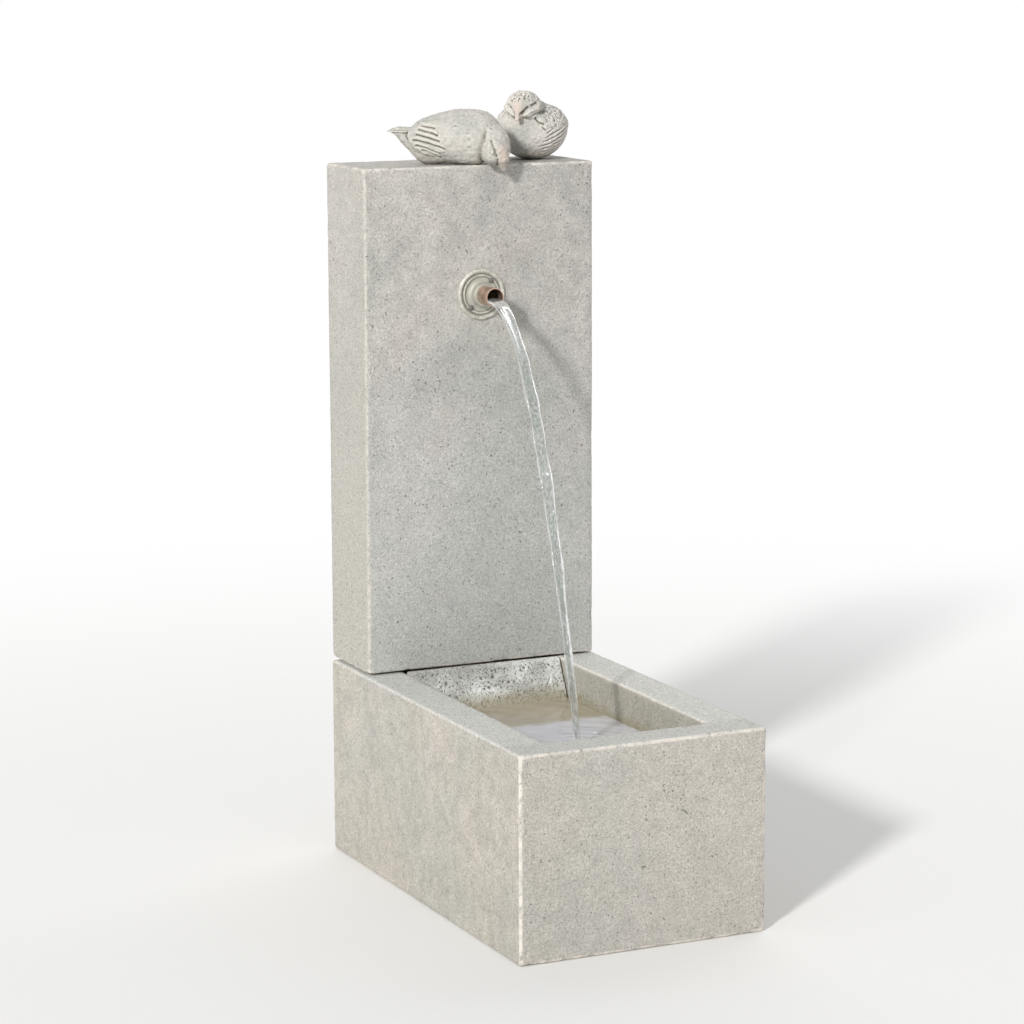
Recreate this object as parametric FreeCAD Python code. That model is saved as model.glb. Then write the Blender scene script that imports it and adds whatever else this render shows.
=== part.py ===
import FreeCAD, Part
import math
import os

# A garden wall fountain of cast stone, in millimetres. A small pump at the back of the basin
# lifts the water through a tube in the column's rear chase. It leaves by a copper spout and
# falls back into the basin. The origin is on the ground, at the middle of the whole outline.
# +X is to the right as one faces the fountain, +Y is towards the wall behind, +Z is up.

os.makedirs("parts", exist_ok=True)
Vec = FreeCAD.Vector
X_AXIS = Vec(1, 0, 0)
Y_AXIS = Vec(0, 1, 0)
Z_AXIS = Vec(0, 0, 1)

# Basin
BASIN_WIDTH = 394.0
BASIN_DEPTH = 688.0
BASIN_HEIGHT = 305.0
SIDE_WALL = 65.0
FRONT_WALL = 57.0
REAR_WALL = 40.0
BASIN_FLOOR = 50.0
CAVITY_DRAFT = 1.5
CAVITY_CORNER = 12.0
CAVITY_COVE = 9.0
CAST_ARRIS = 4.0
RIM_ARRIS = 2.5

# Column
COLUMN_WIDTH = 384.0
COLUMN_DEPTH = 148.0
COLUMN_HEIGHT = 775.0
COLUMN_OVERHANG = 10.0
CHASE_WIDTH = 104.0
CHASE_DEPTH = 95.0
CHASE_HEADROOM = 62.5
CHASE_DRAFT = 4.0
PAD_LENGTH = 50.0
PAD_WIDTH = 40.0
PAD_THICKNESS = 3.0
PAD_SETBACK = 14.0

# Leaning pump cover
SLAB_THICKNESS = 28.0
SLAB_LEAN = 29.3
SLAB_TOP_DROP = 0.5
SLAB_TOP_REVEAL = 9.5
SLAB_SIDE_GAP = 3.0
SLAB_ARRIS = 2.0
TROUGH_DEPTH = 5.0
REST_GAP = 0.3
RIB_THICKNESS = 22.0
RIB_REACH = 13.0
RIB_CLEAR = 34.0
WATER_SLOT_WIDTH = 30.0
WATER_SLOT_HEIGHT = 36.0
WATER_SLOT_PITCH = 74.0
WATER_SLOT_COUNT = 3
WATER_SLOT_RISE = 34.0

# Spout, from the column's face inwards. Its rise is measured from the column's foot
SPOUT_RISE = 577.5
SPOUT_RADIUS = 14.3
SPOUT_WALL = 1.3
SPOUT_REACH = 53.0
ROSETTE_RADIUS = 39.0
ROSETTE_RIM = 5.0
BOSS_WALL = 3.3
BOSS_LENGTH = 18.0
SCREW_CIRCLE = 26.5
SCREW_ANGLE = 50.0
SCREW_RADIUS = 2.1
SCREW_HEAD_RADIUS = 4.2
SCREW_HEAD_SINK = 2.4
SCREW_LENGTH = 32.0
PLUG_RADIUS = 3.9
PLUG_SPARE = 2.0
SLEEVE_WALL = 2.7
SLEEVE_CLEARANCE = 1.5
WASHER_SEAT = 6.5
WASHER_THICKNESS = 3.0
NUT_THICKNESS = 10.0
NUT_ACROSS_FLATS = 46.0
ELBOW_WALL = 3.5
ELBOW_COLLAR_LENGTH = 18.0
ELBOW_REACH = 32.0

# Supply tube and its barbs
TUBE_WALL = 3.05
TUBE_GRIP = 0.05
TUBE_RIM_GAP = 18.0
BARB_RADIUS = 6.4
BARB_TOOTH = 1.0
BARB_WALL = 1.1
BARB_PITCH = 7.0
BARB_RINGS = 4
BARB_PLAIN = 4.0
CLAMP_BAND = 0.8
CLAMP_WIDTH = 9.0

# Pump
PUMP_SIDE_GAP = 44.0
PUMP_REAR_GAP = 24.0
PUMP_WIDTH = 60.0
PUMP_HEIGHT = 60.0
MOTOR_LENGTH = 62.0
PUMP_CORNER = 9.0
FOOT_HEIGHT = 9.0
FOOT_RADIUS = 9.0
FOOT_STEM_RADIUS = 2.5
STRAINER_LENGTH = 44.0
STRAINER_WALL = 2.2
STRAINER_SLOT = 3.0
STRAINER_PITCH = 6.5
VOLUTE_GAP = 1.8
VOLUTE_WALL = 6.0
VOLUTE_FRONT = 8.0
INLET_RADIUS = 8.0
OUTLET_RADIUS = 9.5
OUTLET_RISE = 38.0
OUTLET_INSET = 0.5
IMPELLER_GAP = 3.0
IMPELLER_SHROUD = 1.6
VANE_COUNT = 6
VANE_THICKNESS = 1.6
VANE_SPAN = 8.5
VANE_GAP = 2.9
ROTOR_END_PLAY = 1.0
MAGNET_RADIUS = 10.5
MAGNET_LENGTH = 42.0
MAGNET_CLEARANCE = 0.6
SHAFT_RADIUS = 1.5
SHAFT_CLEARANCE = 0.05
BUSH_RADIUS = 4.0
BUSH_LENGTH = 5.0
BUSH_WALL = 1.2
SEAL_WIDTH = 2.5
SEAL_DEPTH = 2.2
DIAL_RADIUS = 9.0
DIAL_THICKNESS = 4.0
DIAL_STEM_RADIUS = 3.0
MOVING_GAP = 0.3
ADAPTER_COLLAR = 8.0
ADAPTER_THREAD = 9.0
GLAND_LENGTH = 18.0
GLAND_RADIUS = 7.5
CORD_RADIUS = 3.5

# Split bung in the cord hole
BUNG_SIDE_GAP = 2.5
BUNG_RISE = 38.0
BUNG_RADIUS = 17.0
BUNG_TAPER = 2.0
BUNG_FLANGE = 4.0
BUNG_SLIT = 1.0

# Birds. A setback is from the column's front face, and a heading is where the beak points
LEFT_BIRD_LENGTH = 186.0
LEFT_BIRD_X = -30.4
LEFT_BIRD_SETBACK = 30.0
LEFT_BIRD_HEADING = -30.0
RIGHT_BIRD_LENGTH = 150.0
RIGHT_BIRD_X = 124.0
RIGHT_BIRD_SETBACK = 72.0
RIGHT_BIRD_HEADING = 224.0
DOWEL_RADIUS = 4.0
DOWEL_LENGTH = 44.0

# Levels and planes that the sizes above give
FRONT_Y = -(BASIN_DEPTH + COLUMN_OVERHANG) / 2
BASIN_BACK_Y = FRONT_Y + BASIN_DEPTH
COLUMN_BACK_Y = BASIN_BACK_Y + COLUMN_OVERHANG
COLUMN_FACE_Y = COLUMN_BACK_Y - COLUMN_DEPTH
COLUMN_BASE_Z = BASIN_HEIGHT + PAD_THICKNESS
COLUMN_TOP_Z = COLUMN_BASE_Z + COLUMN_HEIGHT
CHASE_FACE_Y = COLUMN_BACK_Y - CHASE_DEPTH
CAVITY_HALF = BASIN_WIDTH / 2 - SIDE_WALL
CAVITY_INSET = (BASIN_HEIGHT - BASIN_FLOOR) * math.tan(math.radians(CAVITY_DRAFT))
REAR_FACE_Y = BASIN_BACK_Y - REAR_WALL
SLAB_TOP_Z = BASIN_HEIGHT - SLAB_TOP_DROP
SPOUT_Z = COLUMN_BASE_Z + SPOUT_RISE
LEFT_BIRD_SEAT = (LEFT_BIRD_X, COLUMN_FACE_Y + LEFT_BIRD_SETBACK)
RIGHT_BIRD_SEAT = (RIGHT_BIRD_X, COLUMN_FACE_Y + RIGHT_BIRD_SETBACK)

# Radii and lengths of what fits round or inside something else
SLEEVE_RADIUS = SPOUT_RADIUS + SLEEVE_WALL
SPOUT_HOLE_RADIUS = SLEEVE_RADIUS + SLEEVE_CLEARANCE
WASHER_RADIUS = SPOUT_HOLE_RADIUS + WASHER_SEAT
ELBOW_COLLAR_RADIUS = SLEEVE_RADIUS + ELBOW_WALL
BOSS_RADIUS = SPOUT_RADIUS + BOSS_WALL
SCREW_SEAT = ROSETTE_RIM - SCREW_HEAD_SINK
PLUG_LENGTH = SCREW_LENGTH + PLUG_SPARE
BARB_ROOT = BARB_RADIUS - BARB_TOOTH
BARB_BORE = BARB_ROOT - BARB_WALL
BARB_LENGTH = BARB_RINGS * BARB_PITCH + BARB_PLAIN
TUBE_BORE = BARB_RADIUS + TUBE_GRIP
TUBE_RADIUS = TUBE_BORE + TUBE_WALL
VOLUTE_RADIUS = min(PUMP_WIDTH, PUMP_HEIGHT) / 2 - STRAINER_WALL - VOLUTE_GAP
CHAMBER_RADIUS = VOLUTE_RADIUS - VOLUTE_WALL
CHAMBER_LENGTH = ROTOR_END_PLAY + IMPELLER_SHROUD + VANE_SPAN + VANE_GAP
VOLUTE_LENGTH = CHAMBER_LENGTH + VOLUTE_FRONT
IMPELLER_RADIUS = CHAMBER_RADIUS - IMPELLER_GAP
SEAL_RADIUS = (CHAMBER_RADIUS + VOLUTE_RADIUS) / 2


def block(low, high):
    """A box between two opposite corners."""
    size = [b - a for a, b in zip(low, high)]
    return Part.makeBox(size[0], size[1], size[2], Vec(*low))


def rod(radius, start, axis, length):
    """A round bar that runs from start along axis."""
    return Part.makeCylinder(radius, length, Vec(*start), axis)


def pipe(outer, inner, start, axis, length):
    """A round bar with a bore."""
    return rod(outer, start, axis, length).cut(rod(inner, start, axis, length))


def cone(first, last, start, axis, length):
    """A round bar that tapers from one radius to another."""
    return Part.makeCone(first, last, length, Vec(*start), axis)


def join(shapes):
    """One solid from several that touch."""
    whole = shapes[0].multiFuse(shapes[1:])
    return whole.removeSplitter()


def edges_at(shape, test):
    """The edges whose two ends and middle all pass a test."""
    found = []
    for edge in shape.Edges:
        middle = edge.valueAt((edge.FirstParameter + edge.LastParameter) / 2)
        points = [vertex.Point for vertex in edge.Vertexes] + [middle]
        if all(test(point) for point in points):
            found.append(edge)
    return found


def close(a, b):
    """True for two lengths that are the same within a hundredth."""
    return abs(a - b) < 0.01


def arc(radius, centre, start, end):
    """Part of a circle in the XY plane, between two angles in degrees."""
    circle = Part.Circle(Vec(centre[0], centre[1], 0), Z_AXIS, radius)
    return Part.Arc(circle, math.radians(start), math.radians(end)).toShape()


def rounded_outline(low, high, radius, z):
    """A rectangle with round corners, as a closed wire at height z."""
    centres = [(high[0] - radius, high[1] - radius), (low[0] + radius, high[1] - radius)]
    centres += [(low[0] + radius, low[1] + radius), (high[0] - radius, low[1] + radius)]
    corners = [arc(radius, centre, 90 * i, 90 * i + 90) for i, centre in enumerate(centres)]
    edges = []
    for i, corner in enumerate(corners):
        after = corners[(i + 1) % 4]
        side = Part.makeLine(corner.Vertexes[-1].Point, after.Vertexes[0].Point)
        edges += [corner, side]
    wire = Part.Wire(edges)
    wire.translate(Vec(0, 0, z))
    return wire


def rounded_bar(width, height, radius, start_x, length, y, z):
    """A bar along X with a rounded rectangle as its section."""
    outline = rounded_outline((-width / 2, -height / 2), (width / 2, height / 2), radius, 0)
    outline.rotate(Vec(0, 0, 0), Vec(1, 1, 1), 120)
    outline.translate(Vec(start_x, y, z))
    return Part.Face(outline).extrude(Vec(length, 0, 0))


def turned(points, origin, axis):
    """A solid of revolution from (radius, distance along axis) points.

    A point with a third value is the middle of an arc between its neighbours.
    """
    edges = []
    places = [Vec(p[0], p[1], 0) for p in points]
    i = 0
    while i < len(points):
        after = (i + 1) % len(points)
        if len(points[after]) == 3:
            end = (i + 2) % len(points)
            edges.append(Part.Arc(places[i], places[after], places[end]).toShape())
            i += 2
        else:
            edges.append(Part.makeLine(places[i], places[after]))
            i += 1
    solid = Part.Face(Part.Wire(edges)).revolve(Vec(0, 0, 0), Y_AXIS, 360)
    turn = FreeCAD.Rotation(Y_AXIS, axis)
    solid.Placement = FreeCAD.Placement(Vec(*origin), turn)
    return solid


def hexagon(across_flats, thickness, start, axis):
    """A hexagonal nut blank that runs from start along axis."""
    corner = across_flats / math.sqrt(3)
    angles = [math.radians(60 * i) for i in range(7)]
    ring = Part.makePolygon([Vec(corner * math.cos(a), corner * math.sin(a), 0) for a in angles])
    solid = Part.Face(ring).extrude(Vec(0, 0, thickness))
    solid.Placement = FreeCAD.Placement(Vec(*start), FreeCAD.Rotation(Z_AXIS, axis))
    return solid


def lean(shape):
    """Moves a shape from the upright slab's own frame to its leaning place in the basin."""
    moved = shape.copy()
    moved.rotate(Vec(0, 0, 0), X_AXIS, -SLAB_LEAN)
    moved.translate(Vec(0, SLAB_FOOT_Y, SLAB_FOOT_Z))
    return moved


def in_spout_frame(y):
    """A point on the spout's axis."""
    return (0, y, SPOUT_Z)


# The slab turns about the centre of its round foot
SLAB_FOOT_RADIUS = SLAB_THICKNESS / 2
SLAB_FOOT_Z = BASIN_FLOOR - TROUGH_DEPTH + SLAB_FOOT_RADIUS
SLAB_COS = math.cos(math.radians(SLAB_LEAN))
SLAB_SIN = math.sin(math.radians(SLAB_LEAN))
SLAB_LENGTH = (SLAB_TOP_Z - SLAB_FOOT_Z - SLAB_FOOT_RADIUS * SLAB_SIN) / SLAB_COS
SLAB_TOP_Y = COLUMN_FACE_Y - SLAB_TOP_REVEAL
SLAB_FOOT_Y = SLAB_TOP_Y + SLAB_FOOT_RADIUS * SLAB_COS - SLAB_LENGTH * SLAB_SIN


def cavity_half_at(z):
    """Half the width of the drafted cavity at height z."""
    return CAVITY_HALF - CAVITY_INSET * (BASIN_HEIGHT - z) / (BASIN_HEIGHT - BASIN_FLOOR)


def make_cavity():
    """The space inside the basin's walls, narrower at the floor so that it leaves the mould."""
    top = rounded_outline(
        (-CAVITY_HALF, FRONT_Y + FRONT_WALL), (CAVITY_HALF, REAR_FACE_Y), CAVITY_CORNER, BASIN_HEIGHT
    )
    inset = CAVITY_INSET
    bottom = rounded_outline(
        (inset - CAVITY_HALF, FRONT_Y + FRONT_WALL + inset),
        (CAVITY_HALF - inset, REAR_FACE_Y - inset),
        CAVITY_CORNER,
        BASIN_FLOOR,
    )
    cavity = Part.makeLoft([bottom, top], True, True)
    floor_edges = edges_at(cavity, lambda p: close(p.z, BASIN_FLOOR))
    return cavity.makeFillet(CAVITY_COVE, floor_edges)


def make_ribs():
    """Two sloping ribs on the side walls, for the slab to lean on."""
    ribs = []
    for side in (-1, 1):
        inner = side * (cavity_half_at(BASIN_FLOOR) - RIB_REACH)
        outer = side * (CAVITY_HALF + SIDE_WALL / 4)
        start = SLAB_FOOT_RADIUS + REST_GAP
        low = (min(inner, outer), start, RIB_CLEAR)
        high = (max(inner, outer), start + RIB_THICKNESS, SLAB_LENGTH - RIB_CLEAR)
        ribs.append(lean(block(low, high)))
    return ribs


def bung_axis(y):
    """A point on the cord hole's axis, far enough in for the flange to miss the round corner."""
    x = BUNG_SIDE_GAP + CAVITY_CORNER + BUNG_RADIUS + BUNG_FLANGE - CAVITY_HALF
    return (x, y, BASIN_FLOOR + BUNG_RISE)


def rear_wall_at(z):
    """Where the rear wall's drafted inner face is at height z."""
    return REAR_FACE_Y - CAVITY_INSET * (BASIN_HEIGHT - z) / (BASIN_HEIGHT - BASIN_FLOOR)


# The bung's flange is flat and the wall is drafted, so it meets the wall at its lowest point
BUNG_SEAT_Y = rear_wall_at(BASIN_FLOOR + BUNG_RISE)
BUNG_LENGTH = BASIN_BACK_Y - BUNG_SEAT_Y
FLANGE_RADIUS = BUNG_RADIUS + BUNG_FLANGE
FLANGE_BACK_Y = rear_wall_at(BASIN_FLOOR + BUNG_RISE - FLANGE_RADIUS) - REST_GAP
FLANGE_FRONT_Y = FLANGE_BACK_Y - BUNG_FLANGE


def make_basin():
    """The trough that holds the water and carries the column."""
    half = BASIN_WIDTH / 2
    body = block((-half, FRONT_Y, 0), (half, BASIN_BACK_Y, BASIN_HEIGHT))
    body = body.makeFillet(CAST_ARRIS, body.Edges)
    body = body.cut(make_cavity())
    reach = CAVITY_HALF + CAST_ARRIS
    rim = edges_at(body, lambda p: close(p.z, BASIN_HEIGHT) and abs(p.x) < reach)
    inside_rim = [e for e in rim if e.BoundBox.YMin > FRONT_Y + FRONT_WALL / 2]
    inside_rim = [e for e in inside_rim if e.BoundBox.YMax < BASIN_BACK_Y - REAR_WALL / 2]
    body = body.makeFillet(RIM_ARRIS, inside_rim)
    body = join([body] + make_ribs())
    trough_half = cavity_half_at(BASIN_FLOOR)
    trough = rod(
        SLAB_FOOT_RADIUS + REST_GAP, (-trough_half, SLAB_FOOT_Y, SLAB_FOOT_Z), X_AXIS, 2 * trough_half
    )
    hole = cone(
        BUNG_RADIUS + REST_GAP,
        BUNG_RADIUS - BUNG_TAPER + REST_GAP,
        bung_axis(BUNG_SEAT_Y),
        Y_AXIS,
        BUNG_LENGTH,
    )
    lead_in = rod(
        BUNG_RADIUS + REST_GAP, bung_axis(FLANGE_FRONT_Y), Y_AXIS, BUNG_SEAT_Y - FLANGE_FRONT_Y
    )
    return body.cut(trough).cut(hole).cut(lead_in)


def make_pump_cover():
    """The leaning slab that hides the pump. Its round foot stands in a shallow trough."""
    foot_half = cavity_half_at(BASIN_FLOOR) - SLAB_SIDE_GAP
    top_half = cavity_half_at(SLAB_TOP_Z) - SLAB_SIDE_GAP
    r = SLAB_FOOT_RADIUS
    corners = [(-foot_half, 0), (foot_half, 0), (top_half, SLAB_LENGTH), (-top_half, SLAB_LENGTH)]
    outline = [Vec(x, -r, z) for x, z in corners + corners[:1]]
    plate = Part.Face(Part.makePolygon(outline)).extrude(Vec(0, SLAB_THICKNESS, 0))
    top_edges = edges_at(plate, lambda p: close(p.z, SLAB_LENGTH))
    plate = plate.makeFillet(SLAB_ARRIS, top_edges)
    slab = join([plate, rod(r, (-foot_half, 0, 0), X_AXIS, 2 * foot_half)])
    half_slot = WATER_SLOT_WIDTH / 2
    for i in range(WATER_SLOT_COUNT):
        x = (i - (WATER_SLOT_COUNT - 1) / 2) * WATER_SLOT_PITCH
        low = (x - half_slot, -SLAB_THICKNESS, WATER_SLOT_RISE)
        high = (x + half_slot, SLAB_THICKNESS, WATER_SLOT_RISE + WATER_SLOT_HEIGHT)
        slab = slab.cut(block(low, high))
        for z in (low[2], high[2]):
            slab = slab.cut(rod(half_slot, (x, -SLAB_THICKNESS, z), Y_AXIS, 2 * SLAB_THICKNESS))
    return lean(slab)


def arch_outline(half_width, top, y):
    """A doorway outline with a round head, from under the column up to top."""
    spring = top - half_width
    bottom = COLUMN_BASE_Z - CAST_ARRIS
    corners = [Vec(-half_width, y, spring), Vec(-half_width, y, bottom)]
    corners += [Vec(half_width, y, bottom), Vec(half_width, y, spring)]
    sides = [Part.makeLine(a, b) for a, b in zip(corners, corners[1:])]
    head = Part.Arc(corners[3], Vec(0, y, top), corners[0]).toShape()
    return Part.Wire(sides + [head])


def screw_places():
    """Where the two rosette screws go, as (x, z)."""
    places = []
    for angle in (SCREW_ANGLE, SCREW_ANGLE + 180):
        turn = math.radians(angle)
        places.append((SCREW_CIRCLE * math.cos(turn), SPOUT_Z + SCREW_CIRCLE * math.sin(turn)))
    return places


def make_column():
    """The tall slab that carries the spout, with an open chase at its back for the tube."""
    half = COLUMN_WIDTH / 2
    body = block((-half, COLUMN_FACE_Y, COLUMN_BASE_Z), (half, COLUMN_BACK_Y, COLUMN_TOP_Z))
    body = body.makeFillet(CAST_ARRIS, body.Edges)
    chase_top = SPOUT_Z + CHASE_HEADROOM
    mouth = arch_outline(CHASE_WIDTH / 2, chase_top, COLUMN_BACK_Y)
    bed = arch_outline(CHASE_WIDTH / 2 - CHASE_DRAFT, chase_top - CHASE_DRAFT, CHASE_FACE_Y)
    body = body.cut(Part.makeLoft([bed, mouth], True, True))
    wall = CHASE_FACE_Y - COLUMN_FACE_Y
    body = body.cut(rod(SPOUT_HOLE_RADIUS, in_spout_frame(COLUMN_FACE_Y), Y_AXIS, wall))
    for x, z in screw_places():
        body = body.cut(rod(PLUG_RADIUS, (x, COLUMN_FACE_Y, z), Y_AXIS, PLUG_LENGTH))
    for pin in dowel_rods():
        body = body.cut(pin)
    return body


def make_setting_pads():
    """Four thin pads that keep the joint between basin and column even."""
    pads = []
    outer = COLUMN_WIDTH / 2 - PAD_SETBACK
    for side in (-1, 1):
        low_x = outer - PAD_WIDTH if side > 0 else -outer
        for low_y in (COLUMN_FACE_Y + PAD_SETBACK, BASIN_BACK_Y - PAD_SETBACK - PAD_LENGTH):
            low = (low_x, low_y, BASIN_HEIGHT)
            high = (low_x + PAD_WIDTH, low_y + PAD_LENGTH, COLUMN_BASE_Z)
            pads.append(block(low, high))
    return Part.makeCompound(pads)


def make_rosette():
    """The turned plate round the spout: two beads, a dished face and a boss."""
    outer = ROSETTE_RADIUS
    rim = ROSETTE_RIM
    bead = outer - 8.5
    bore = SPOUT_RADIUS
    profile = [
        (bore, 0),
        (outer, 0),
        (outer, rim - 3),
        (outer - 0.9, rim - 0.9, "arc"),
        (outer - 3, rim),
        (outer - 5.1, rim - 0.9, "arc"),
        (outer - 6, rim - 2.2),
        (bead, rim - 2.2),
        (bead - 1.6, rim - 0.6, "arc"),
        (bead - 3.2, rim - 2.2),
        (BOSS_RADIUS + 4, rim - 2.6, "arc"),
        (BOSS_RADIUS, rim + 1),
        (BOSS_RADIUS, BOSS_LENGTH - 1),
        (BOSS_RADIUS - 1, BOSS_LENGTH),
        (bore, BOSS_LENGTH),
    ]
    plate = turned(profile, in_spout_frame(COLUMN_FACE_Y), Y_AXIS.negative())
    out = Y_AXIS.negative()
    for x, z in screw_places():
        plate = plate.cut(rod(SCREW_RADIUS, (x, COLUMN_FACE_Y, z), out, ROSETTE_RIM))
        pocket = rod(
            SCREW_HEAD_RADIUS + MOVING_GAP, (x, COLUMN_FACE_Y - SCREW_SEAT, z), out, ROSETTE_RIM
        )
        plate = plate.cut(pocket)
    return plate


def make_rosette_screws():
    """Two pan-head screws through the rosette."""
    seat = SCREW_SEAT
    profile = [
        (0, -SCREW_LENGTH),
        (SCREW_RADIUS, 2 * SCREW_RADIUS - SCREW_LENGTH),
        (SCREW_RADIUS, seat),
        (SCREW_HEAD_RADIUS, seat),
        (SCREW_HEAD_RADIUS * 0.75, seat + 2.0, "arc"),
        (0, seat + 2.8),
    ]
    screws = []
    for x, z in screw_places():
        screw = turned(profile, (x, COLUMN_FACE_Y, z), Y_AXIS.negative())
        slot_low = (x - SCREW_HEAD_RADIUS, COLUMN_FACE_Y - seat - 3, z - 0.5)
        slot_high = (x + SCREW_HEAD_RADIUS, COLUMN_FACE_Y - seat - 1.6, z + 0.5)
        screws.append(screw.cut(block(slot_low, slot_high)))
    return Part.makeCompound(screws)


def make_wall_plugs():
    """Two plastic plugs in the column that the rosette screws bite into."""
    plugs = []
    for x, z in screw_places():
        plug = rod(PLUG_RADIUS, (x, COLUMN_FACE_Y, z), Y_AXIS, PLUG_LENGTH)
        plug = plug.cut(rod(SCREW_RADIUS, (x, COLUMN_FACE_Y, z), Y_AXIS, SCREW_LENGTH))
        plugs.append(plug)
    return Part.makeCompound(plugs)


# Planes along the spout's axis behind the column's face
WASHER_Y = CHASE_FACE_Y
NUT_Y = WASHER_Y + WASHER_THICKNESS
COLLAR_Y = NUT_Y + NUT_THICKNESS + 1
ELBOW_Y = COLLAR_Y + ELBOW_REACH
SLEEVE_END_Y = COLLAR_Y + ELBOW_COLLAR_LENGTH - 3
ELBOW_BARB_Z = SPOUT_Z - ELBOW_COLLAR_RADIUS


def make_spout_tube():
    """The copper tube that the water leaves by."""
    start = COLUMN_FACE_Y - SPOUT_REACH
    length = SLEEVE_END_Y - start
    return pipe(SPOUT_RADIUS, SPOUT_RADIUS - SPOUT_WALL, in_spout_frame(start), Y_AXIS, length)


def make_spout_sleeve():
    """A brass sleeve soldered round the tube, with the thread for the nut and elbow."""
    start = COLUMN_FACE_Y
    return pipe(SLEEVE_RADIUS, SPOUT_RADIUS, in_spout_frame(start), Y_AXIS, SLEEVE_END_Y - start)


def make_spout_washer():
    """A rubber washer between the column and the nut."""
    return pipe(WASHER_RADIUS, SLEEVE_RADIUS, in_spout_frame(WASHER_Y), Y_AXIS, WASHER_THICKNESS)


def make_spout_nut():
    """The nut that pulls the spout tight from inside the chase."""
    start = in_spout_frame(NUT_Y)
    blank = hexagon(NUT_ACROSS_FLATS, NUT_THICKNESS, start, Y_AXIS)
    return blank.cut(rod(SLEEVE_RADIUS, start, Y_AXIS, NUT_THICKNESS))


def barb(origin, axis, length):
    """A hose barb: a root with ring-shaped teeth, all with the same bore."""
    points = [(BARB_BORE, 0), (BARB_ROOT, 0), (BARB_ROOT, length - BARB_RINGS * BARB_PITCH)]
    for i in range(BARB_RINGS):
        low = length - (BARB_RINGS - i) * BARB_PITCH
        points += [(BARB_RADIUS, low), (BARB_ROOT, low + BARB_PITCH)]
    points.append((BARB_BORE, length))
    return turned(points, origin, axis)


def make_spout_elbow():
    """The brass elbow that takes the tube into the sleeve."""
    collar = rod(ELBOW_COLLAR_RADIUS, in_spout_frame(COLLAR_Y), Y_AXIS, ELBOW_COLLAR_LENGTH)
    body_radius = ELBOW_COLLAR_RADIUS - 5
    body = rod(body_radius, in_spout_frame(COLLAR_Y), Y_AXIS, ELBOW_Y - COLLAR_Y)
    knuckle = Part.makeSphere(body_radius, Vec(0, ELBOW_Y, SPOUT_Z))
    neck_radius = BARB_RADIUS + 4
    down = Z_AXIS.negative()
    neck = rod(neck_radius, (0, ELBOW_Y, SPOUT_Z), down, ELBOW_COLLAR_RADIUS)
    solid = join([collar, body, knuckle, neck])
    solid = solid.cut(rod(SLEEVE_RADIUS, in_spout_frame(COLLAR_Y), Y_AXIS, SLEEVE_END_Y - COLLAR_Y))
    passage = rod(SPOUT_RADIUS - 4, in_spout_frame(SLEEVE_END_Y), Y_AXIS, ELBOW_Y - SLEEVE_END_Y)
    drop = rod(BARB_BORE, (0, ELBOW_Y, SPOUT_Z), down, ELBOW_COLLAR_RADIUS)
    solid = solid.cut(passage).cut(drop)
    return join([solid, barb((0, ELBOW_Y, ELBOW_BARB_Z), down, BARB_LENGTH)])


# The pump's planes. PUMP_X is the joint between its motor body and its volute
PUMP_X = CAVITY_HALF - PUMP_SIDE_GAP - MOTOR_LENGTH
PUMP_Y = REAR_FACE_Y - PUMP_REAR_GAP - PUMP_WIDTH / 2
PUMP_Z = BASIN_FLOOR + FOOT_HEIGHT + PUMP_HEIGHT / 2
VOLUTE_START = PUMP_X - VOLUTE_LENGTH
CHAMBER_START = PUMP_X - CHAMBER_LENGTH
OUTLET_X = PUMP_X - OUTLET_RADIUS - OUTLET_INSET
OUTLET_TOP_Z = PUMP_Z + OUTLET_RISE
TUBE_START_Z = OUTLET_TOP_Z + ADAPTER_COLLAR + 2
WELL_RADIUS = MAGNET_RADIUS + MAGNET_CLEARANCE
MAGNET_START = PUMP_X + ROTOR_END_PLAY
WELL_END = MAGNET_START + MAGNET_LENGTH + ROTOR_END_PLAY
REAR_BUSH_X = WELL_END
FRONT_BUSH_X = VOLUTE_START
SHAFT_START = FRONT_BUSH_X + 1
SHAFT_END = REAR_BUSH_X + BUSH_LENGTH - 1
HOUSING_END = PUMP_X + MOTOR_LENGTH
STRAINER_START = PUMP_X - STRAINER_LENGTH
GLAND_Z = PUMP_Z + PUMP_HEIGHT / 4


def on_pump_axis(x):
    """A point on the pump's axis."""
    return (x, PUMP_Y, PUMP_Z)


def foot_places():
    """Where the four suction feet go, as (x, y)."""
    inset = FOOT_RADIUS + 1
    spread = PUMP_WIDTH / 2 - inset
    return [(x, PUMP_Y + y) for x in (PUMP_X + inset, HOUSING_END - inset) for y in (-spread, spread)]


def make_pump_housing():
    """The potted motor body, with the rotor's well open to the front."""
    body = rounded_bar(PUMP_WIDTH, PUMP_HEIGHT, PUMP_CORNER, PUMP_X, MOTOR_LENGTH, PUMP_Y, PUMP_Z)
    rear = edges_at(body, lambda p: close(p.x, HOUSING_END))
    body = body.makeFillet(PUMP_CORNER / 3, rear)
    body = body.cut(rod(WELL_RADIUS, on_pump_axis(PUMP_X), X_AXIS, WELL_END - PUMP_X))
    body = body.cut(rod(BUSH_RADIUS, on_pump_axis(REAR_BUSH_X), X_AXIS, BUSH_LENGTH))
    body = body.cut(make_volute_seal())
    for x, y in foot_places():
        body = body.cut(rod(FOOT_STEM_RADIUS, (x, y, BASIN_FLOOR + FOOT_HEIGHT), Z_AXIS, 4))
    return body


def make_volute_seal():
    """The square-cut ring seal between the motor body and the volute, filling its groove."""
    half = SEAL_WIDTH / 2
    return pipe(SEAL_RADIUS + half, SEAL_RADIUS - half, on_pump_axis(PUMP_X), X_AXIS, SEAL_DEPTH)


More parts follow.
